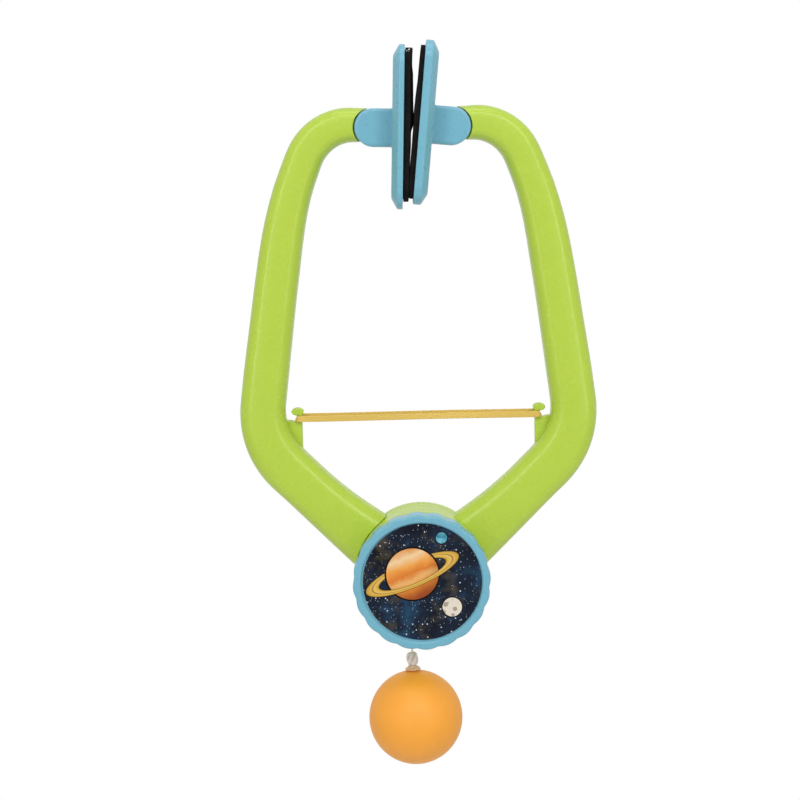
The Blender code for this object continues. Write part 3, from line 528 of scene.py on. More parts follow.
def tube(name, points, radius, sides=12, closed=False):
    """A round cord along points, its ring of vertices carried along without twisting."""
    points = [Vector(point) for point in points]
    count = len(points)
    headings = []
    for index in range(count):
        after = points[(index + 1) % count] if closed or index < count - 1 else points[index]
        before = points[index - 1] if closed or index > 0 else points[index]
        headings.append((after - before).normalized())
    normal = headings[0].orthogonal().normalized()
    normals = []
    for heading in headings:
        normal = (normal - heading * normal.dot(heading)).normalized()
        normals.append(normal)
    slip = 0.0
    if closed:
        last = (normal - headings[0] * normal.dot(headings[0])).normalized()
        slip = math.atan2(headings[0].dot(last.cross(normals[0])), last.dot(normals[0]))
    rings = []
    for index, point in enumerate(points):
        across = normals[index]
        up = headings[index].cross(across)
        angles = [2 * math.pi * side / sides + slip * index / count for side in range(sides)]
        rings.append([point + (across * math.cos(a) + up * math.sin(a)) * radius for a in angles])
    return lofted(name, rings, closed)


def combine(body, operation, tool):
    """Add a tool to a body, or cut it away, and keep only the body."""
    modifier = body.modifiers.new("combine", "BOOLEAN")
    modifier.operation = operation
    modifier.object = tool
    modifier.solver = "EXACT"
    bpy.context.view_layer.update()
    graph = bpy.context.evaluated_depsgraph_get()
    mesh = bpy.data.meshes.new_from_object(body.evaluated_get(graph))
    body.modifiers.remove(modifier)
    bm = bmesh.new()
    bm.from_mesh(mesh)
    bmesh.ops.remove_doubles(bm, verts=bm.verts, dist=MERGE)
    bmesh.ops.dissolve_degenerate(bm, edges=bm.edges, dist=MERGE)
    bm.to_mesh(mesh)
    bm.free()
    body.data = mesh
    bpy.data.objects.remove(tool)


def move(thing, offset):
    """Shift a body's vertices."""
    thing.data.transform(Matrix.Translation(offset))
    return thing


def stand_up(thing):
    """Turn a body from Y to Z."""
    thing.data.transform(Matrix.Rotation(math.pi / 2, 4, "X"))
    return thing


def bore(radius, low, high, x=0.0, z=0.0, flare_low=0.0, flare_high=0.0, segments=SMALL_ROUND):
    """A round cutter along Y that leaves its mouth rounded at either end."""
    low_r, high_r = radius + flare_low, radius + flare_high
    profile = [(0.0, low - OVERCUT), (low_r, low - OVERCUT)]
    if flare_low:
        profile += arc((low_r, low + flare_low), flare_low, 1.5 * math.pi, math.pi, 4)
    if flare_high:
        profile += arc((high_r, high - flare_high), flare_high, math.pi, math.pi / 2, 4)
    profile += [(high_r, high + OVERCUT), (0.0, high + OVERCUT)]
    return move(spun("cutter", profile, segments), (x, 0.0, z))


def dress(thing, body, look, *nodes, sharp=SHARP):
    """Give a piece its material and hang it on its body in place of the named nodes."""
    slot, material = look
    thing.data.materials.append(material)
    thing.data.shade_smooth()
    thing.data.set_sharp_from_angle(angle=math.radians(sharp))
    weighted = thing.modifiers.new("weighted", "WEIGHTED_NORMAL")
    weighted.keep_sharp = True
    weighted.mode = "FACE_AREA"
    if body:
        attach(thing, body)
    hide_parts(*nodes)
    return thing


# Arms


def arm_path():
    """The right arm's centreline with rounded corners, and the distance along it at each point."""
    trios = [ARM_CORNERS[index : index + 3] for index in range(3)]
    shoulder = ARM_CORNERS[3] - ARM_CORNERS[2]
    room = shoulder.length - SHOULDER_R * math.tan(bend(*trios[2]) / 2)
    bow_r = (room - BOW_RUN) / math.tan(bend(*trios[1]) / 2)
    points = [ROOT]
    for trio, radius in zip(trios, (ELBOW_R, bow_r, SHOULDER_R)):
        points += rounded_corner(*trio, radius, math.ceil(abs(bend(*trio)) / ARC_STEP))
    points.append(ARM_CORNERS[-1])
    lengths = [0.0]
    for first, second in zip(points, points[1:]):
        lengths.append(lengths[-1] + (second - first).length)
    return points, lengths


def arm_point(distance):
    """The point at a distance along the right arm's centreline, and the heading there."""
    points, lengths = arm_path()
    index = 0
    while index < len(points) - 2 and lengths[index + 1] < distance:
        index += 1
    heading = (points[index + 1] - points[index]).normalized()
    return points[index] + heading * (distance - lengths[index]), heading


def half_width(distance, column):
    """From the centreline to the inner or outer edge at a distance along the arm, without kinks."""
    spread = [distance + WIDTH_BLUR * share / 3 for share in range(-3, 4)]
    plain = [along(ARM_WIDTHS, stop, 1, held=False) / 2 for stop in spread]
    halves = [half + along(EDGE_SHIFTS, stop, column) for half, stop in zip(plain, spread)]
    return sum(halves) / len(halves)


def edge_quarter(reach, across):
    """One side of the arm's section from parting plane to face, as (sideways, depth) points."""
    start = math.atan2(EDGE_DEPTH, across * CROWN_LEAN)
    flat = reach - across + across * math.cos(start)
    drop = flat * CROWN_LEAN / 2
    deep = HALF_DEPTH - drop - EDGE_DEPTH * math.sin(start)
    points = arc((reach - LIP_R, PARTING / 2 + LIP_R), LIP_R, -math.pi / 2, 0.0, 3)
    edge = arc((0.0, 0.0), 1.0, 0.0, start, 12)
    points += [(reach - across + across * x, deep + EDGE_DEPTH * y) for x, y in edge]
    shares = [1.0 - step / 5 for step in range(1, 5)]
    return points + [(flat * share, HALF_DEPTH - drop * share**2) for share in shares]


def arm_half(name, side, rear, out):
    """Half of an arm, from a square cut so far out from the hub axis to the pad's pin."""
    _, lengths = arm_path()
    begin, end = out - (ELBOW - ROOT).normalized().dot(ROOT), lengths[-1]
    stops = [stop for stop in lengths if begin < stop < end]
    for index in range(int(end / ARM_STEP) + 1):
        stop = index * ARM_STEP
        if begin < stop < end and min(abs(stop - other) for other in lengths) > ARM_STEP / 2:
            stops.append(stop)
    depth = 1.0 if rear else -1.0
    rings = []
    for stop in [begin, *sorted(stops), end]:
        place, heading = arm_point(stop)
        heading = (heading + arm_point(min(stop + MM / 2, end))[1]).normalized()
        inner, outer = half_width(stop, 1), half_width(stop, 2)
        across = EDGE_SHARE * (inner + outer)
        section = [*edge_quarter(outer, across), (0.0, HALF_DEPTH)]
        section += [(-u, v) for u, v in reversed(edge_quarter(inner, across))]
        flat = [(place.x + heading.y * u, v, place.y - heading.x * u) for u, v in section]
        rings.append([(side * x, depth * y, z) for x, y, z in flat])
    return lofted(name, rings)


def hook_fin(side):
    """The gusset in the elbow, with the neck and the rounded head that holds the band."""
    low = (ELBOW - ROOT).normalized()
    high = (BOW - ELBOW).normalized()
    inward = Vector((-low.y - high.y, low.x + high.x)).normalized()
    half = ARM_WIDTHS[1][1] * MM / 2
    corner = ELBOW + inward * half / math.cos(bend(ROOT, ELBOW, BOW) / 2)
    top = Vector((corner.x - FIN_REACH, corner.y + FIN_RISE))
    head_z = top.y + NECK_H + HEAD_H / 2
    head_x = top.x + HEAD_W / 2 - HEAD_OVERHANG
    start = -math.acos((top.x + NECK_TOP_W - head_x) / (HEAD_W / 2))
    stop = math.pi + math.acos((head_x - top.x) / (HEAD_W / 2))
    circle = arc((0.0, 0.0), 1.0, start, stop, 28)
    head = [(head_x + HEAD_W / 2 * across, head_z + HEAD_H / 2 * up) for across, up in circle]
    seat_x = top.x + NECK_W + FIN_SEAT
    neck = filleted([
        (corner.x, top.y + FIN_STEP, 0.0),
        (seat_x + FIN_RAMP, top.y + FIN_STEP, 1.5 * MM),
        (seat_x, top.y, LIP_R),
        (top.x + NECK_W, top.y, 0.15 * MM),
        (*head[0], 0.0),
    ])
    outline = [(corner.x, corner.y), *neck, *head[1:], (top.x, corner.y - FIN_REACH)]
    edge = rounded_edge(FIN_EDGE)
    return slab("fin", mirrored(outline, side), FIN_FRONT, FIN_FRONT + FIN_T, edge)


def tongue(side, rear):
    """Half of the flat eye that goes between the pad's cheeks."""
    back = PIVOT_X + NOTCH_R + HUB_WALL
    outline = [(back, HUB_DROP - TONGUE_R), (back, HUB_DROP + TONGUE_R)]
    outline += arc((PIVOT_X, HUB_DROP), TONGUE_R, math.pi / 2, 1.5 * math.pi, 20)
    low, high = PARTING / 2 + SEAT / 4, TONGUE_T / 2
    if not rear:
        low, high = -high, -low
    return slab("tongue", mirrored(outline, side), low, high, rounded_edge(LIP_R))


def arm_shell(name, side, rear, out, *hub):
    """An arm's half shell from so far out from the hub axis; hub holds (operation, tool) pairs."""
    body = arm_half(name, side, rear, out)
    steps = list(hub)
    if rear:
        steps.append((ADD, hook_fin(side)))
    notch = bore(NOTCH_R, -HALF_DEPTH, HALF_DEPTH, side * PIVOT_X, HUB_DROP, segments=ROUND)
    steps += [(CUT, notch), (ADD, tongue(side, rear))]
    for station in SCREW_STATIONS if rear else ():
        place, _ = arm_point(station)
        floor = HALF_DEPTH - SCREW_HEAD_T - SEAT + OVERCUT
        seat_r = SCREW_HEAD_R + 2 * SEAT
        at = (side * place.x, place.y)
        steps.append((CUT, bore(seat_r, floor, HALF_DEPTH, *at, flare_high=LIP_R)))
    for operation, tool in steps:
        combine(body, operation, tool)
    return move(body, HUB)


def left_front():
    """The left arm's front shell, which ends in a hollow round the drum."""
    hollow = bore(HUB_R + SEAT, -HALF_DEPTH, OVERCUT, flare_low=CRISP, segments=ROUND)
    return arm_shell("left_front_shell", -1, False, HUB_R - LEFT_FRONT_IN, (CUT, hollow))


def left_rear():
    """The left arm's rear shell with the hub disc and the band hook."""
    hole = AXLE_R + SEAT
    disc = turned("disc", [
        (hole, DISC_FRONT, 0.0),
        (HUB_R, DISC_FRONT, LIP_R),
        (HUB_R, DISC_BACK, 1.2 * MM),
        (hole, DISC_BACK, SOFT),
    ], closed=True)
    hollow = bore(HUB_R + RUN, -OVERCUT, DISC_FRONT + OVERLAP - OVERCUT, segments=ROUND)
    return arm_shell("left_rear_shell", -1, True, AXLE_R + MM, (CUT, hollow), (ADD, disc))


def right_front():
    """The right arm's front shell with the drum that the reel turns in."""
    mouth = STUB_R + RUN
    inner = DRUM_FRONT + HUB_WALL
    back = -2 * OVERLAP - PARTING / 2
    drum = turned("drum", [
        (HUB_ROOM_R, back, 0.0),
        (HUB_ROOM_R, inner, 0.5 * MM),
        (mouth, inner, 0.0),
        (mouth, DRUM_FRONT, LIP_R),
        (HUB_R, DRUM_FRONT, 1.0 * MM),
        (HUB_R, back, LIP_R),
    ], closed=True)
    low, high = CORD_EXIT.z - HUB.z - MM, -HUB_ROOM_R / 2
    profile = [(0.0, low), (EXIT_MOUTH_R, low), (EXIT_R, low + EXIT_FLARE)]
    profile += [(EXIT_R, high), (0.0, high)]
    outlet = move(stand_up(spun("exit", profile, SMALL_ROUND)), (CORD_EXIT.x, CORD_EXIT.y, 0.0))
    hollow = bore(HUB_ROOM_R + HUB_WALL / 2, -2 * HALF_DEPTH, OVERCUT, segments=ROUND)
    steps = ((CUT, hollow), (ADD, drum), (CUT, outlet))
    return arm_shell("right_front_shell", 1, False, AXLE_R, *steps)


def right_rear():
    """The right arm's rear shell with the drum's floor, the axle and the spool's pin."""
    front = 2 * OVERLAP + PARTING / 2
    drum = turned("drum", [
        (0.0, SPOOL_PIN_END, 0.0),
        (SPOOL_PIN_R, SPOOL_PIN_END, SOFT),
        (SPOOL_PIN_R, FLOOR_FRONT, 0.0),
        (HUB_ROOM_R, FLOOR_FRONT, 0.0),
        (HUB_ROOM_R, front, 0.0),
        (HUB_R, front, LIP_R),
        (HUB_R, DRUM_BACK, LIP_R),
        (AXLE_R, DRUM_BACK, 0.0),
        (AXLE_R, DISC_BACK - SEAT, SOFT),
        (0.0, DISC_BACK - SEAT, 0.0),
    ])
    behind = bore(HUB_R + RUN, DRUM_BACK + OVERCUT, HALF_DEPTH, flare_high=SOFT, segments=ROUND)
    hollow = bore(HUB_ROOM_R + HUB_WALL / 2, -OVERCUT, DRUM_BACK, segments=ROUND)
    steps = ((CUT, behind), (CUT, hollow), (ADD, drum))
    return arm_shell("right_rear_shell", 1, True, AXLE_R + MM, *steps)


# Pads


def cheek(inward, low, high):
    """One of the round-ended plates that hold the arm's eye, its outer rim sloped and rounded."""
    outline = [(CHEEK_ROOT, -CLEVIS_R), (CHEEK_ROOT, CLEVIS_R)]
    outline += arc((0.0, 0.0), CLEVIS_R, math.pi / 2, 1.5 * math.pi, 36)
    slope = math.tan(RIM_LEAN)
    wide = CHEEK_EDGE + RIM_W
    rim = [(wide + RIM_SUPPORT, 0.0), (wide, 0.0)]
    rim.append((CHEEK_EDGE + RIM_SUPPORT, (RIM_W - RIM_SUPPORT) * slope))
    rim += rounded_edge(CHEEK_EDGE, RIM_LEAN, RIM_W * slope)
    edges = [rim, rounded_edge(LIP_R)]
    if low > 0.0:
        edges.reverse()
    return slab("cheek", mirrored(outline, inward), low, high, *edges)


def cheek_foot(inward, low, high):
    """The hollow rounding where a cheek stands on its plate."""
    rings = []
    steps = 6
    middle = (low + high) / 2
    for step in range(steps + 1):
        angle = math.pi / 2 * step / steps
        grown = CHEEK_FILLET * (1.0 - math.cos(angle)) - OVERLAP
        x = inward * (CLEVIS_REACH - CHEEK_FILLET * (1.0 - math.sin(angle)))
        size = (high - low + 2 * grown, 2 * CLEVIS_R + 2 * grown)
        outline = rounded_rectangle(*size, CHEEK_EDGE + RIM_W + grown, 4)
        rings.append([(x, y + middle, z) for y, z in outline])
    rings.append([(inward * (CLEVIS_REACH + MM), y, z) for _, y, z in rings[-1]])
    return lofted("foot", rings)


def pad_plate(name, side):
    """A pad plate with its bevels and its two cheeks, drawn about the pin's axis."""
    inward = -side
    thick = PLATE_T[side]
    profile = [
        (0.0, BEVEL_W + 4 * MM, 0.0),
        (0.0, BEVEL_W, 3.0 * MM),
        (BEVEL_T, 0.0, 1.1 * MM),
        (thick, 0.0, 0.35 * MM),
        (thick, 3 * MM, 0.0),
    ]
    rings = []
    for x, drawn in filleted(profile, 6):
        radius = max(PAD_CORNER_R - drawn, 1.2 * MM)
        outline = rounded_rectangle(PAD_D - 2 * drawn, PAD_H - 2 * drawn, radius)
        rings.append([(inward * (CLEVIS_REACH + x), y, z) for y, z in outline])
    plate = lofted(name, rings)
    for low, high in ((-HALF_DEPTH, -CLEVIS_GAP), (CLEVIS_GAP, HALF_DEPTH)):
        combine(plate, ADD, cheek(inward, low, high))
        combine(plate, ADD, cheek_foot(inward, low, high))
    return plate


def foam_face(near, point, table, side):
    """How far a facing's face stands out at a point (depth, height) of it."""
    lump = noise.noise(Vector((point.x / LUMP_W, point.y / LUMP_W, 3.1 * side)))
    behind = min(1.0, (point.x + FACING_D / 2) / FOAM_EDGE)
    front, full = (along(table, point.y, column, eased=True) for column in (1, 2))
    return near + front + (full - front) * math.sin(behind * math.pi / 2) + LUMP_H * lump


def facing(name, side, table):
    """A foam facing with soft edges and an uneven face, on its tape, drawn about the pin's axis."""
    behind = CLEVIS_REACH + PLATE_T[side]
    near = behind + TAPE_T[side]
    corner = rounded_rectangle(FACING_D, FACING_H, PAD_CORNER_R - (PAD_H - FACING_H) / 2, 8)
    outer = []
    for point, after in zip(corner, corner[1:] + corner[:1]):
        count = max(1, round((after - point).length / FOAM_STEP))
        outer += [point.lerp(after, step / count) for step in range(count)]
    taped = inset(outer, TAPE_INSET)
    rings = [[(x, point) for point in taped] for x in (behind + 2 * OVERLAP, near)]
    rings.append([(near, point) for point in outer])
    for step in range(5):
        angle = math.pi / 2 * step / 4
        fall = FOAM_FILLET * (1.0 - math.sin(angle))
        rim = inset(outer, FOAM_FILLET * (1.0 - math.cos(angle)))
        rings.append([(foam_face(near, point, table, side) - fall, point) for point in rim])
    inner = inset(outer, FOAM_FILLET)
    for step in range(1, FOAM_RINGS + 1):
        share = 1.0 - step / FOAM_RINGS
        points = [point * share for point in inner] if share else [Vector((0.0, 0.0))]
        rings.append([(foam_face(near, point, table, side), point) for point in points])
    lift = FACING_LIFT[side]
    placed = [[(-side * x, point.x, point.y + lift) for x, point in ring] for ring in rings]
    thing = lofted(name, placed)
    for face in thing.data.polygons[: len(taped)]:
        face.material_index = 1
    return thing


# Reel, cord and ball


def lobed(radius, angle):
    """The knob's radius at an angle, scalloped near its rim only."""
    share = min(1.0, max(0.0, (radius - RECESS_R - RECESS_LIP) / LOBE_RUN))
    return radius - share * LOBE_DEPTH * (1.0 - abs(math.sin(LOBES * (angle - LOBE_TURN) / 2)))


def knob():
    """The scalloped cap with a recess for the printed disc and a socket for the spool's stub."""
    room_r = KNOB_R - LOBE_DEPTH - KNOB_WALL
    room_end = KNOB_FLOOR + KNOB_WALL
    socket_r = STUB_R + SEAT
    socket_end = KNOB_BACK - STUB_L - SEAT
    boss_r = socket_r + KNOB_WALL
    profile = [
        (0.0, KNOB_FLOOR, 0.0),
        (RECESS_R, KNOB_FLOOR, 0.25 * MM),
        (RECESS_R, KNOB_FRONT + RECESS_LIP, CRISP),
        (RECESS_R + RECESS_LIP, KNOB_FRONT, LIP_R),
        (KNOB_R, KNOB_FRONT, 0.9 * MM),
        (KNOB_R, KNOB_BACK, 0.6 * MM),
        (room_r, KNOB_BACK, CRISP),
        (room_r, room_end, 0.5 * MM),
        (boss_r, room_end, 0.5 * MM),
        (boss_r, KNOB_BACK, LIP_R),
        (socket_r, KNOB_BACK, LIP_R),
        (socket_r, socket_end, 0.0),
        (0.0, socket_end, 0.0),
    ]
    cap = turned("scalloped_knob", profile, 6, LOBES * LOBE_POINTS, radius_at=lobed)
    return move(cap, HUB + KNOB_SET)


def label():
    """The printed disc in the knob's recess."""
    back = KNOB_FLOOR - SEAT / 2
    front = back - LABEL_T
    profile = [(0.0, front, 0.0), (LABEL_R, front, 0.12 * MM)]
    profile += [(LABEL_R, back, 0.05 * MM), (0.0, back, 0.0)]
    return move(turned("printed_label", profile, 4), HUB + LABEL_SET)


def spool():
    """The bobbin, with a hole for the pin at its rear and one for the screw in its stub."""
    back = FLOOR_FRONT - FELT_T - 2 * SEAT
    front = DRUM_FRONT + HUB_WALL + SEAT
    stub_end = KNOB_BACK - STUB_L
    pin_r, pin_end = SPOOL_PIN_R + SEAT, SPOOL_PIN_END - SEAT
    profile = [
        (0.0, pin_end, 0.0),
        (pin_r, pin_end, 0.0),
        (pin_r, back, CRISP),
        (SPOOL_R, back, SOFT),
        (SPOOL_R, back - FLANGE_T, SOFT),
        (SPOOL_CORE_R, back - FLANGE_T, SOFT),
        (SPOOL_CORE_R, front + FLANGE_T, SOFT),
        (SPOOL_R, front + FLANGE_T, SOFT),
        (SPOOL_R, front, SOFT),
        (STUB_R, front, LIP_R),
        (STUB_R, stub_end, SOFT),
        (SCREW_HOLE_R, stub_end, CRISP),
        (SCREW_HOLE_R, stub_end + SCREW_HOLE_L, 0.0),
        (0.0, stub_end + SCREW_HOLE_L, 0.0),
    ]
    return move(turned("bobbin", profile, segments=MEDIUM_ROUND), (0.0, 0.0, HUB.z))


def winding():
    """The wound cord: two layers of turns on the spool."""
    low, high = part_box("cord_winding")
    first, last = low.y + CORD_R, high.y - CORD_R
    steps = int((last - first) / TURN_PITCH) * TURN_POINTS
    points = []
    for layer in range(2):
        radius = TURN_R + layer * LAYER_T
        for step in range(steps + 1):
            angle = 2 * math.pi * step / TURN_POINTS
            share = step / steps
            y = first + (last - first) * (1.0 - share if layer else share)
            points.append((radius * math.cos(angle), y, radius * math.sin(angle)))
    return move(tube("cord_turns", points, CORD_R, 8), (0.0, 0.0, HUB.z))


def washer(name, node, bore_r):
    """A flat ring with softened edges in the place of a node."""
    low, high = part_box(node)
    outer_r = (high.x - low.x) / 2
    corners = ((bore_r, low.y), (outer_r, low.y), (outer_r, high.y), (bore_r, high.y))
    profile = [(*corner, CRISP) for corner in corners]
    return move(turned(name, profile, 4, MEDIUM_ROUND, closed=True), (0.0, 0.0, HUB.z))


def cross_screw(name, node, head_t, shank_r, from_rear=True):
    """A pan-head screw with a cross recess in a node's place, its head at the rear or the front."""
    low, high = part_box(node)
    head_r = (high.x - low.x) / 2
    crown, tip, inward = (high.y, low.y, -1) if from_rear else (low.y, high.y, 1)
    shoulder = crown + inward * head_t
    thing = turned(name, [
        (0.0, tip, 0.0),
        (shank_r, tip, LIP_R),
        (shank_r, shoulder, 0.0),
        (head_r, shoulder, 0.12 * MM),
        (head_r, crown, HEAD_CROWN * head_t),
        (0.0, crown, 0.0),
    ], segments=SMALL_ROUND)
    arm, half = head_r * CROSS_REACH, head_r * CROSS_HALF
    outline = []
    for quarter in range(4):
        turn = Matrix.Rotation(quarter * math.pi / 2, 2)
        outline += [turn @ Vector(point) for point in ((arm, -half), (arm, half), (half, half))]
    ends = sorted((crown + inward * CROSS_DEPTH * head_t, crown - inward * OVERCUT))
    combine(thing, CUT, slab("recess", outline, *ends, rounded_edge(2 * OVERLAP)))
    return move(thing, ((low.x + high.x) / 2, 0.0, (low.z + high.z) / 2))


def band():
    """The rubber band: one flat loop round both hooks."""
    height = BAND_HIGH.z - BAND_LOW.z
    middle = (BAND_LOW + BAND_HIGH) / 2
    radius = (BAND_HIGH.y - BAND_LOW.y - BAND_T) / 2
    reach = BAND_HIGH.x - BAND_T / 2 - radius
    half = [(-reach + 2 * reach * step / BAND_STEPS, -radius) for step in range(BAND_STEPS)]
    for step in range(LOOP_STEPS):
        angle = math.pi * step / LOOP_STEPS - math.pi / 2
        x, y = math.cos(angle), math.sin(angle)
        size = (x**4 + y**4) ** -0.25
        half.append((reach + LOOP_REACH * size * x, radius * size * y))
    path = [Vector((end * x, middle.y + end * y)) for end in (1, -1) for x, y in half]
    section = rounded_rectangle(BAND_T, height, BAND_EDGE, 3)
    rings = []
    for index, point in enumerate(path):
        heading = (path[(index + 1) % len(path)] - path[index - 1]).normalized()
        share = point.x / reach
        straight = 1.0 - abs(share) ** 4 if abs(share) < 1.0 else 0.0
        phase = 0.6 if point.y < middle.y else 2.4
        spin = Matrix.Rotation(BAND_TWIST * straight * math.sin(3.0 * share + phase), 2)
        bunch = ease((radius - abs(point.y - middle.y)) / (radius - FIN_T / 2 - 0.35 * MM))
        lift = BAND_WAVE * straight * math.sin(2.2 * share + 1.0) - LOOP_DROP * bunch
        ring = []
        for corner in section:
            across, up = spin @ corner
            across *= 1.0 + (LOOP_T / BAND_T - 1.0) * bunch
            up *= 1.0 + (LOOP_H / height - 1.0) * bunch
            x, y = point.x + heading.y * across, point.y - heading.x * across
            ring.append((x, y, middle.z + up + lift))
        rings.append(ring)
    return lofted("rubber_band", rings, closed=True)


def askew(point):
    """Where a point of the hanging ball lies when the ball hangs askew."""
    return BALL_CENTRE + BALL_LIFT + BALL_TURN @ (Vector(point) - BALL_CENTRE)


def lean(thing):
    """Turn a piece of the hanging ball about the ball's middle."""
    for vertex in thing.data.vertices:
        vertex.co = askew(vertex.co)
    return thing


def cord_lead():
    """The cord from the winding to the exit hole."""
    low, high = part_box("cord_inside")
    top = Vector((low.x + CORD_R, CORD_EXIT.y, high.z))
    mouth = Vector((CORD_EXIT.x, CORD_EXIT.y, low.z))
    return tube("cord_lead", [top.lerp(mouth, step / 10) for step in range(11)], CORD_R)


def cord_drop():
    """The short stretch of cord that shows between the drum and the knot."""
    top = Vector((CORD_EXIT.x, CORD_EXIT.y, DROP_HIGH.z))
    end = askew((CORD_EXIT.x, CORD_EXIT.y, DROP_LOW.z))
    points = []
    for step in range(25):
        share = step / 24
        parts = zip(top, end, (ease(share), ease(share), share))
        points.append([first + (last - first) * part for first, last, part in parts])
    return tube("cord_drop", points, CORD_R, 14)


def knot():
    """A knot drawn tight: doubled cord that winds round itself in a fat bundle."""
    low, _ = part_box("cord_knot")
    middle = Vector((CORD_EXIT.x, CORD_EXIT.y, low.z + KNOT_R + KNOT_HALF_H))
    points = []
    for index in range(KNOT_POINTS):
        turn = 2 * math.pi * index / KNOT_POINTS
        around, over = KNOT_TURNS * turn + KNOT_START, KNOT_PASSES * turn
        radius = KNOT_RING + KNOT_FAT * math.cos(over)
        x, y = radius * math.cos(around), radius * math.sin(around)
        points.append(middle + Vector((x, y, KNOT_HALF_H * math.sin(over))))
    return lean(tube("tied_knot", points, KNOT_R, 16, closed=True))


def ball():
    """The hollow ball with its hole for the plug."""
    inner = BALL_R - BALL_WALL
    profile = arc((0.0, 0.0), inner, -math.pi / 2, math.acos(BALL_HOLE_R / inner), BALL_STEPS)
    profile += arc((0.0, 0.0), BALL_R, math.acos(BALL_HOLE_R / BALL_R), -math.pi / 2, BALL_STEPS)
    return lean(move(stand_up(spun("celluloid_ball", profile)), BALL_CENTRE))


def plug():
    """The clear plug whose flange rests on the ball."""
    low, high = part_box("ball_plug")
    bottom, top = low.z, high.z
    seat = top - 1.8 * MM
    under = seat - 1.25 * MM
    neck_r, barb_r, flange_r = 1.3 * MM, 2.1 * MM, 3.3 * MM
    profile = [
        (0.0, bottom, 0.0),
        (neck_r, bottom, LIP_R),
        (barb_r, under - 1.3 * MM, LIP_R),
        (barb_r, under - SEAT, CRISP),
        (neck_r, under, 0.1 * MM),
        (neck_r, seat, 0.1 * MM),
        (flange_r, seat - 0.1 * MM, 0.35 * MM),
        (flange_r, seat + 0.9 * MM, SOFT),
        (2.4 * MM, seat + 1.0 * MM, 0.25 * MM),
        (barb_r, top, 0.5 * MM),
        (0.0, top, 0.0),
    ]
    upright = stand_up(turned("clear_plug", profile, segments=MEDIUM_ROUND))
    return lean(move(upright, (BALL_AT.x, BALL_AT.y, 0.0)))


# Materials


def feed(tree, socket, value):
    """Link a node's output to a socket, or set a constant there."""
    if isinstance(value, bpy.types.NodeSocket):
        tree.links.new(value, socket)
    elif socket.type == "RGBA":
        socket.default_value = (*value, 1.0)
    else:
        socket.default_value = value


def add(tree, kind, inputs=None, **settings):
    """Outputs of a new node with its settings, and its inputs fed by name or number."""
    node = tree.nodes.new(f"ShaderNode{kind}")
    for name, value in settings.items():
        setattr(node, name, value)
    for key, value in (inputs or {}).items():
        feed(tree, node.inputs[key], value)
    return node.outputs


def calc(tree, operation, *values):
    """A math node."""
    return add(tree, "Math", dict(enumerate(values)), operation=operation)[0]


def product(tree, first, *others):
    """Several values multiplied."""
    for other in others:
        first = calc(tree, "MULTIPLY", first, other)
    return first


def mix(tree, factor, first, second):
    """Mix two colours."""
    return add(tree, "Mix", {0: factor, 6: first, 7: second}, data_type="RGBA")[2]


def ramp(tree, factor, *stops):
    """A colour ramp through (position, colour or grey) stops."""
    node = tree.nodes.new("ShaderNodeValToRGB")
    tree.links.new(factor, node.inputs["Fac"])
    elements = node.color_ramp.elements
    while len(elements) < len(stops):
        elements.new(0.5)
    for element, (position, colour) in zip(elements, stops):
        element.position = position
        rgb = colour if isinstance(colour, tuple) else (colour, colour, colour)
        element.color = (*rgb, 1.0)
    return node.outputs["Color"]


def coordinates(tree, scale=(1.0, 1.0, 1.0), shift=(0.0, 0.0, 0.0)):
    """Object coordinates, which are metres, scaled and then shifted."""
    place = add(tree, "TexCoord")["Object"]
    return add(tree, "Mapping", {"Vector": place, "Location": shift, "Scale": scale})["Vector"]


def noise_of(tree, scale, detail=2.0, rough=0.5, vector=None):
    """Noise in object space; scale is in features to the metre."""
    inputs = {"Scale": scale, "Detail": detail, "Roughness": rough}
    return add(tree, "TexNoise", {"Vector": vector or coordinates(tree), **inputs})["Fac"]


def cells_of(tree, scale, vector=None):
    """Cells in object space: the distance from a cell's middle, and a random colour for each."""
    inputs = {"Vector": vector or coordinates(tree), "Scale": scale}
    return add(tree, "TexVoronoi", inputs, feature="F1")


def specks_of(tree, scale, size, rare, vector=None):
    """Round specks in the middles of cells; rare is the share of cells that have none."""
    cells = cells_of(tree, scale, vector)
    chance = add(tree, "SeparateColor", {0: cells["Color"]})[0]
    speck = calc(tree, "LESS_THAN", cells["Distance"], size)
    return product(tree, speck, calc(tree, "GREATER_THAN", chance, rare))


def shades(tree, factor, colour, dark, light):
    """A ramp from a darker to a lighter shade of a colour."""
    ends = [tuple(min(1.0, channel * level) for channel in colour) for level in (dark, light)]
    return ramp(tree, factor, *zip((0.3, 0.7), ends))


def new_look(name):
    """A new material and its node tree."""
    material = bpy.data.materials.new(name)
    material.use_nodes = True
    return material, material.node_tree


def paint(material, height, depth, colour, rough, **sockets):
    """Feed a material's shader, with a bump whose height is worth a depth in metres."""
    tree = material.node_tree
    bump = add(tree, "Bump", {"Height": height, "Distance": depth, "Strength": 1.0})["Normal"]
    values = {"Normal": bump, "Base Color": colour, "Roughness": rough}
    for name, value in sockets.items():
        values[name.replace("_", " ").title().replace("Ior", "IOR")] = value
    for name, value in values.items():
        feed(tree, tree.nodes["Principled BSDF"].inputs[name], value)
    return material


def moulded(name, colour, rough, grain, depth):
    """Moulded plastic: faint cloudiness, uneven gloss and a fine surface grain."""
    material, tree = new_look(name)
    tint = shades(tree, noise_of(tree, 70.0, 3.0), colour, 0.985, 1.012)
    gloss = ramp(tree, noise_of(tree, 260.0, 4.0, 0.6), (0.3, rough * 0.96), (0.75, rough * 1.05))
    return paint(material, noise_of(tree, grain, 3.0, 0.6), depth, tint, gloss)


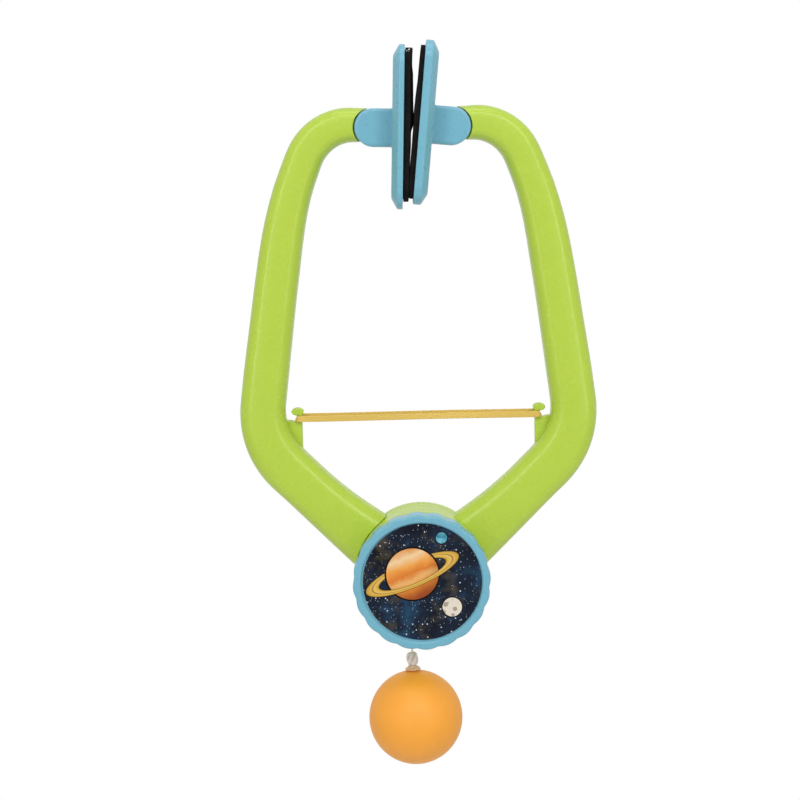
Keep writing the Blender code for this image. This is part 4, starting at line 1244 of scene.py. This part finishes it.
def foam_material():
    """Black cellular rubber, with pale flecks at the top front of the left facing."""
    material, tree = new_look("black_foam_look")
    fine = noise_of(tree, 2600.0, 4.0, 0.7)
    pores = calc(tree, "ADD", cells_of(tree, 1500.0)["Distance"], fine)
    tint = ramp(tree, noise_of(tree, 240.0, 4.0, 0.65), *FOAM)
    place = add(tree, "SeparateXYZ", {0: coordinates(tree)})
    top = calc(tree, "GREATER_THAN", place["Z"], FACING_H / 2 - FLECK_DROP)
    left = calc(tree, "LESS_THAN", place["X"], 0.0)
    front = calc(tree, "LESS_THAN", place["Y"], FLECK_DEPTH - FACING_D / 2)
    fleck = calc(tree, "GREATER_THAN", noise_of(tree, 900.0), 0.58)
    tint = mix(tree, product(tree, top, left, front, fleck), tint, PALE_FLECK)
    rough = ramp(tree, fine, (0.3, 0.62), (0.7, 0.86))
    return paint(material, pores, 0.12 * MM, tint, rough, specular_ior_level=0.1)


def rubber_material():
    """Amber latex with streaks along the band."""
    material, tree = new_look("amber_rubber_look")
    streaks = noise_of(tree, 1.0, 4.0, 0.6, coordinates(tree, (12.0, 300.0, 260.0)))
    rough = ramp(tree, streaks, (0.3, 0.40), (0.7, 0.58))
    return paint(material, streaks, 0.006 * MM, ramp(tree, streaks, *AMBER), rough)


def clear_material(name, colour, transmission):
    """Clear nylon, slightly milky."""
    material, tree = new_look(name)
    cloud = noise_of(tree, 900.0, 3.0, 0.6)
    tint = shades(tree, cloud, colour, 0.93, 1.03)
    rough = ramp(tree, cloud, (0.3, 0.16), (0.7, 0.30))
    clear = {"transmission_weight": transmission, "ior": 1.48}
    return paint(material, noise_of(tree, 1500.0), 0.008 * MM, tint, rough, **clear)


def ball_material():
    """Orange celluloid, matt, with a faint seam and a few dark specks."""
    material, tree = new_look("orange_celluloid_look")
    tint = shades(tree, noise_of(tree, 110.0, 4.0, 0.6), ORANGE, 0.965, 1.02)
    tint = mix(tree, specks_of(tree, 75.0, 0.026, 0.93), tint, ORANGE_SPECK)
    rough = ramp(tree, noise_of(tree, 500.0, 4.0, 0.6), (0.3, 0.42), (0.7, 0.56))
    place = add(tree, "SeparateXYZ", {0: coordinates(tree, shift=tuple(-BALL_AT))})
    tilted = calc(tree, "ADD", product(tree, place["X"], 0.35), place["Z"])
    seam = product(tree, calc(tree, "COMPARE", tilted, 0.0, 0.22 * MM), 0.25)
    height = calc(tree, "ADD", seam, noise_of(tree, 1900.0, 3.0, 0.6))
    return paint(material, height, 0.02 * MM, tint, rough)


def steel_material():
    """Zinc-plated steel with cloudy passivation and fine turning marks."""
    material, tree = new_look("zinc_steel_look")
    cloud = noise_of(tree, 600.0, 4.0, 0.6)
    rough = ramp(tree, cloud, (0.3, 0.24), (0.7, 0.40))
    marks = noise_of(tree, 5000.0, 3.0, 0.7)
    return paint(material, marks, 0.01 * MM, ramp(tree, cloud, *ZINC), rough, metallic=1.0)


def felt_material():
    """Grey felt."""
    material, tree = new_look("grey_felt_look")
    fibres = noise_of(tree, 2400.0, 6.0, 0.75)
    tint = ramp(tree, fibres, (0.3, 0.14), (0.7, 0.34))
    return paint(material, fibres, 0.2 * MM, tint, 0.95, sheen_weight=0.3)


def local(tree, vector, x, z, angle=0.0):
    """The print's coordinates about a point of it, turned by an angle."""
    turn = (0.0, math.radians(angle), 0.0)
    inputs = {"Vector": vector, "Location": (x, 0.0, z), "Rotation": turn}
    return add(tree, "Mapping", inputs, vector_type="TEXTURE")["Vector"]


def across_up(tree, vector):
    """A vector's parts in the plane of the print."""
    parts = add(tree, "SeparateXYZ", {0: vector})
    return parts["X"], parts["Z"]


def span(tree, across, up, flatten=1.0):
    """Distance from a point, in ellipses if flattened."""
    up = product(tree, up, 1.0 / flatten)
    squares = [product(tree, part, part) for part in (across, up)]
    return calc(tree, "SQRT", calc(tree, "ADD", *squares))


def outlined(tree, art, distance, size, line, inside):
    """Lay a shape with a dark outline over the art; it reaches as far as size from its middle."""
    for reach, colour in ((size, INK), (size - line, inside)):
        art = mix(tree, calc(tree, "LESS_THAN", distance, reach), art, colour)
    return art


def print_material():
    """A printed night sky with a ringed planet and two moons, drawn in disc radii."""
    material, tree = new_look("printed_disc_look")
    scale = 1.0 / LABEL_R
    place = coordinates(tree, (scale, 0.0, scale), (-scale * HUB.x, 0.0, -scale * HUB.z))
    art = ramp(tree, noise_of(tree, 1.5, 6.0, 0.62, place), *SKY)
    dust = noise_of(tree, 2.1, 6.0, 0.65, local(tree, place, 3.0, 1.0))
    art = mix(tree, ramp(tree, dust, (0.52, 0.0), (0.75, 0.6)), art, DUST)
    for dense, rare in STARS:
        art = mix(tree, specks_of(tree, dense, STAR_R, rare, place), art, STAR)

    centre = local(tree, place, *PLANET_AT, PLANET_TURN)
    across, up = across_up(tree, centre)
    away = span(tree, across, up, RING_FLAT)
    ring = ramp(tree, away, *RING)
    in_ring = calc(tree, "COMPARE", away, RING_R, RING_HALF)
    art = mix(tree, product(tree, in_ring, calc(tree, "GREATER_THAN", up, 0.0)), art, ring)
    level = calc(tree, "MULTIPLY_ADD", up, 0.9, 0.42)
    wave = calc(tree, "MULTIPLY_ADD", noise_of(tree, 3.2, 3.0, 0.55, centre), 0.22, level)
    unlit = span(tree, *across_up(tree, local(tree, place, *PLANET_LIT)))
    dim = ramp(tree, unlit, (0.42, 0.0), (0.72, 0.62))
    planet = mix(tree, dim, ramp(tree, wave, *PLANET), PLANET_SHADE)
    art = outlined(tree, art, span(tree, across, up), PLANET_R, PLANET_LINE, planet)
    art = mix(tree, product(tree, in_ring, calc(tree, "LESS_THAN", up, 0.0)), art, ring)

    distance = span(tree, *across_up(tree, local(tree, place, *CREAM_AT)))
    pits = cells_of(tree, 7.5, local(tree, place, 1.3, 2.2))["Distance"]
    art = outlined(tree, art, distance, CREAM_R, CREAM_LINE, ramp(tree, pits, *CREAM))
    centre = local(tree, place, *TEAL_AT)
    distance = span(tree, *across_up(tree, centre))
    teal = ramp(tree, noise_of(tree, 7.0, 3.0, 0.5, centre), *TEAL)
    art = outlined(tree, art, distance, TEAL_R, TEAL_LINE, teal)
    grain = noise_of(tree, 1800.0, 3.0, 0.6)
    return paint(material, grain, 0.006 * MM, art, 0.36, specular_ior_level=0.15)


def make_pieces():
    """Build every piece, dress it and hang it on its body."""
    green = ("green_plastic", moulded("green_plastic_look", GREEN, 0.27, 1400.0, 0.001 * MM))
    blue = ("blue_plastic", moulded("blue_plastic_look", BLUE, 0.28, 2000.0, 0.001 * MM))
    white = ("white_plastic", moulded("white_plastic_look", WHITE, 0.40, 1500.0, 0.008 * MM))
    foam = ("black_foam", foam_material())
    # The tape's near-black is partly its own colour and partly painted shade of the gap between
    # plate and facing
    tape = moulded("black_tape_and_gap_shade_look", TAPE_BLACK_AND_GAP_SHADE, 0.6, 2500.0, 0.01 * MM)
    rubber = ("amber_rubber", rubber_material())
    clear = ("clear_cord", clear_material("clear_cord_look", NYLON, 0.1))
    # The plug's orange tint is painted light from the ball, seen through the clear nylon
    clear_with_painted_ball_light = ("clear_cord", clear_material("clear_plug_painted_ball_light_look", NYLON_WITH_PAINTED_BALL_LIGHT, 0.3))
    steel = ("zinc_steel", steel_material())
    felt = ("grey_felt", felt_material())
    celluloid = ("orange_celluloid", ball_material())
    soft = {"sharp": SHARP_ON_SOFT}

    dress(right_front(), "right_arm", green, "right_arm_front")
    dress(right_rear(), "right_arm", green, "right_arm_rear")
    dress(left_front(), "left_arm", green, "left_arm_front")
    dress(left_rear(), "left_arm", green, "left_arm_rear")
    pads = (("left", -1, LEFT_TILT, LEFT_FOAM), ("right", 1, RIGHT_TILT, RIGHT_FOAM))
    for name, side, tilt, table in pads:
        pad, arm = f"{name}_pad", f"{name}_arm"
        plate = pad_plate(f"{name}_plate", side)
        pad_foam = facing(f"{name}_foam", side, table)
        for thing in (plate, pad_foam):
            turn = Matrix.Rotation(tilt, 4, "Y")
            thing.data.transform(Matrix.Translation((side * PIVOT_X, 0.0, 0.0)) @ turn)
        dress(plate, pad, blue, f"{pad}_plate")
        dress(pad_foam, pad, foam, f"{pad}_facing", **soft)
        pad_foam.data.materials.append(tape)
        pin = cross_screw(f"{name}_pin", f"{pad}_pin", *PAD_PIN)
        dress(pin, pad, steel, f"{pad}_pin")
        for number in range(1, len(SCREW_STATIONS) + 1):
            node = f"{arm}_screw_{number}"
            screw = cross_screw(f"{name}_screw_{number}", node, *SHELL_SCREW)
            dress(screw, arm, steel, node)

    pivot = cross_screw("hub_screw", "pivot_screw", *PIVOT_SCREW)
    dress(pivot, "right_arm", steel, "pivot_screw")
    dress(washer("hub_washer", "pivot_washer", PIVOT_BORE_R), "right_arm", steel, "pivot_washer")
    friction = washer("felt_washer", "friction_washer", SPOOL_PIN_R + RUN)
    dress(friction, "right_arm", felt, "friction_washer")

    dress(knob(), "reel", blue, "reel_knob")
    dress(label(), "reel", ("printed_disc", print_material()), "knob_disc")
    dress(spool(), "reel", white, "cord_spool")
    dress(winding(), "reel", clear, "cord_winding", **soft)
    cap_screw = cross_screw("cap_screw", "knob_screw", *CAP_SCREW, from_rear=False)
    dress(cap_screw, "reel", steel, "knob_screw")

    loop = dress(band(), None, rubber, "rubber_band_left", "rubber_band_right", **soft)
    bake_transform(loop)

    dress(cord_lead(), "right_arm", clear, "cord_inside", **soft)
    drop = dress(cord_drop(), None, clear, "cord_run", **soft)
    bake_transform(drop)
    dress(knot(), "hanging_ball", clear, "cord_knot", **soft)
    dress(plug(), "hanging_ball", clear_with_painted_ball_light, "ball_plug")
    dress(ball(), "hanging_ball", celluloid, "ball", **soft)


# Surroundings


def make_world():
    """Even white light; camera and clear plastic see plain white, gloss sees it darker in front."""
    world = bpy.data.worlds.new("studio")
    bpy.context.scene.world = world
    world.use_nodes = True
    tree = world.node_tree
    path = add(tree, "LightPath")
    glossy = path["Is Glossy Ray"]
    seen = calc(tree, "MAXIMUM", path["Is Camera Ray"], path["Is Transmission Ray"])
    plain = calc(tree, "MULTIPLY_ADD", seen, 1.0 - WORLD_LEVEL, WORLD_LEVEL)
    rearward = add(tree, "SeparateXYZ", {0: add(tree, "TexCoord")["Generated"]})["Y"]
    levels = {"From Min": -0.6, "From Max": 0.5, "To Min": FRONT_GLOSS, "To Max": REAR_GLOSS}
    inputs = {"Value": rearward, **levels}
    gloss = add(tree, "MapRange", inputs, interpolation_type="SMOOTHSTEP")["Result"]
    share = product(tree, plain, calc(tree, "SUBTRACT", 1.0, glossy))
    ground = tree.nodes["Background"].inputs
    feed(tree, ground["Color"], (1.0, 1.0, 1.0))
    feed(tree, ground["Strength"], calc(tree, "MULTIPLY_ADD", glossy, gloss, share))


def direction(azimuth, elevation):
    """A unit vector from the object; azimuth 0 is the front, 90 the right."""
    a, e = math.radians(azimuth), math.radians(elevation)
    return Vector((math.sin(a) * math.cos(e), -math.cos(a) * math.cos(e), math.sin(e)))


def make_lamp(name, azimuth, elevation, distance, width, height, radiance, shown):
    """A soft box that faces the object."""
    data = bpy.data.lights.new(name, "AREA")
    data.shape = "RECTANGLE"
    data.size = width
    data.size_y = height
    data.energy = radiance * math.pi * width * height
    lamp = bpy.data.objects.new(name, data)
    lamp.visible_glossy = shown
    back = direction(azimuth, elevation)
    lamp.location = CENTRE + back * distance
    lamp.rotation_mode = "QUATERNION"
    lamp.rotation_quaternion = back.to_track_quat("Z", "Y")
    bpy.context.scene.collection.objects.link(lamp)


def make_floor():
    """A pale floor below the ball's lowest place, white to the camera apart from its shadow."""
    bm = bmesh.new()
    bmesh.ops.create_grid(bm, x_segments=8, y_segments=8, size=FLOOR_HALF)
    floor = make_object("floor", bm)
    floor.location = (0.0, 0.0, BALL_LOW.z - BALL_TRAVEL - FLOOR_GAP)
    material, tree = new_look("floor_look")
    shader = tree.nodes["Principled BSDF"]
    pale = ramp(tree, noise_of(tree, 3.0), (0.3, 0.86), (0.7, 0.89))
    for name, value in (("Base Color", pale), ("Roughness", 0.9), ("Specular IOR Level", 0.1)):
        feed(tree, shader.inputs[name], value)
    path = add(tree, "LightPath")
    seen = calc(tree, "MAXIMUM", path["Is Camera Ray"], path["Is Glossy Ray"])
    seen = calc(tree, "MAXIMUM", seen, path["Is Transmission Ray"])
    place = add(tree, "SeparateXYZ", {0: coordinates(tree)})
    away = calc(tree, "DIVIDE", span(tree, place["X"], place["Y"]), FLOOR_HALF)
    share = product(tree, seen, ramp(tree, away, (0.35, FLOOR_GLOW), (0.95, 1.0)))
    glow = add(tree, "Emission")["Emission"]
    surface = add(tree, "MixShader", {"Fac": share, 1: shader.outputs["BSDF"], 2: glow})["Shader"]
    feed(tree, tree.nodes["Material Output"].inputs["Surface"], surface)
    floor.data.materials.append(material)


def make_camera():
    """The photograph's viewpoint."""
    data = bpy.data.cameras.new("camera")
    data.sensor_width = SENSOR
    data.lens = FOCAL_PX / IMAGE_PX * data.sensor_width
    camera = bpy.data.objects.new("camera", data)
    back = direction(CAMERA_AZIMUTH, CAMERA_ELEVATION)
    right = Vector((0.0, 0.0, 1.0)).cross(back).normalized()
    up = back.cross(right)
    turned_right = right * math.cos(CAMERA_ROLL) - up * math.sin(CAMERA_ROLL)
    turned_up = right * math.sin(CAMERA_ROLL) + up * math.cos(CAMERA_ROLL)
    axes = Matrix((turned_right, turned_up, back)).transposed().to_4x4()
    camera.matrix_world = Matrix.Translation(LOOK_AT + back * CAMERA_FAR) @ axes
    bpy.context.scene.collection.objects.link(camera)
    bpy.context.scene.camera = camera


make_pieces()
make_world()
for lamp_settings in LAMPS:
    make_lamp(*lamp_settings)
make_floor()
make_camera()
bpy.context.scene.view_settings.view_transform = "Standard"
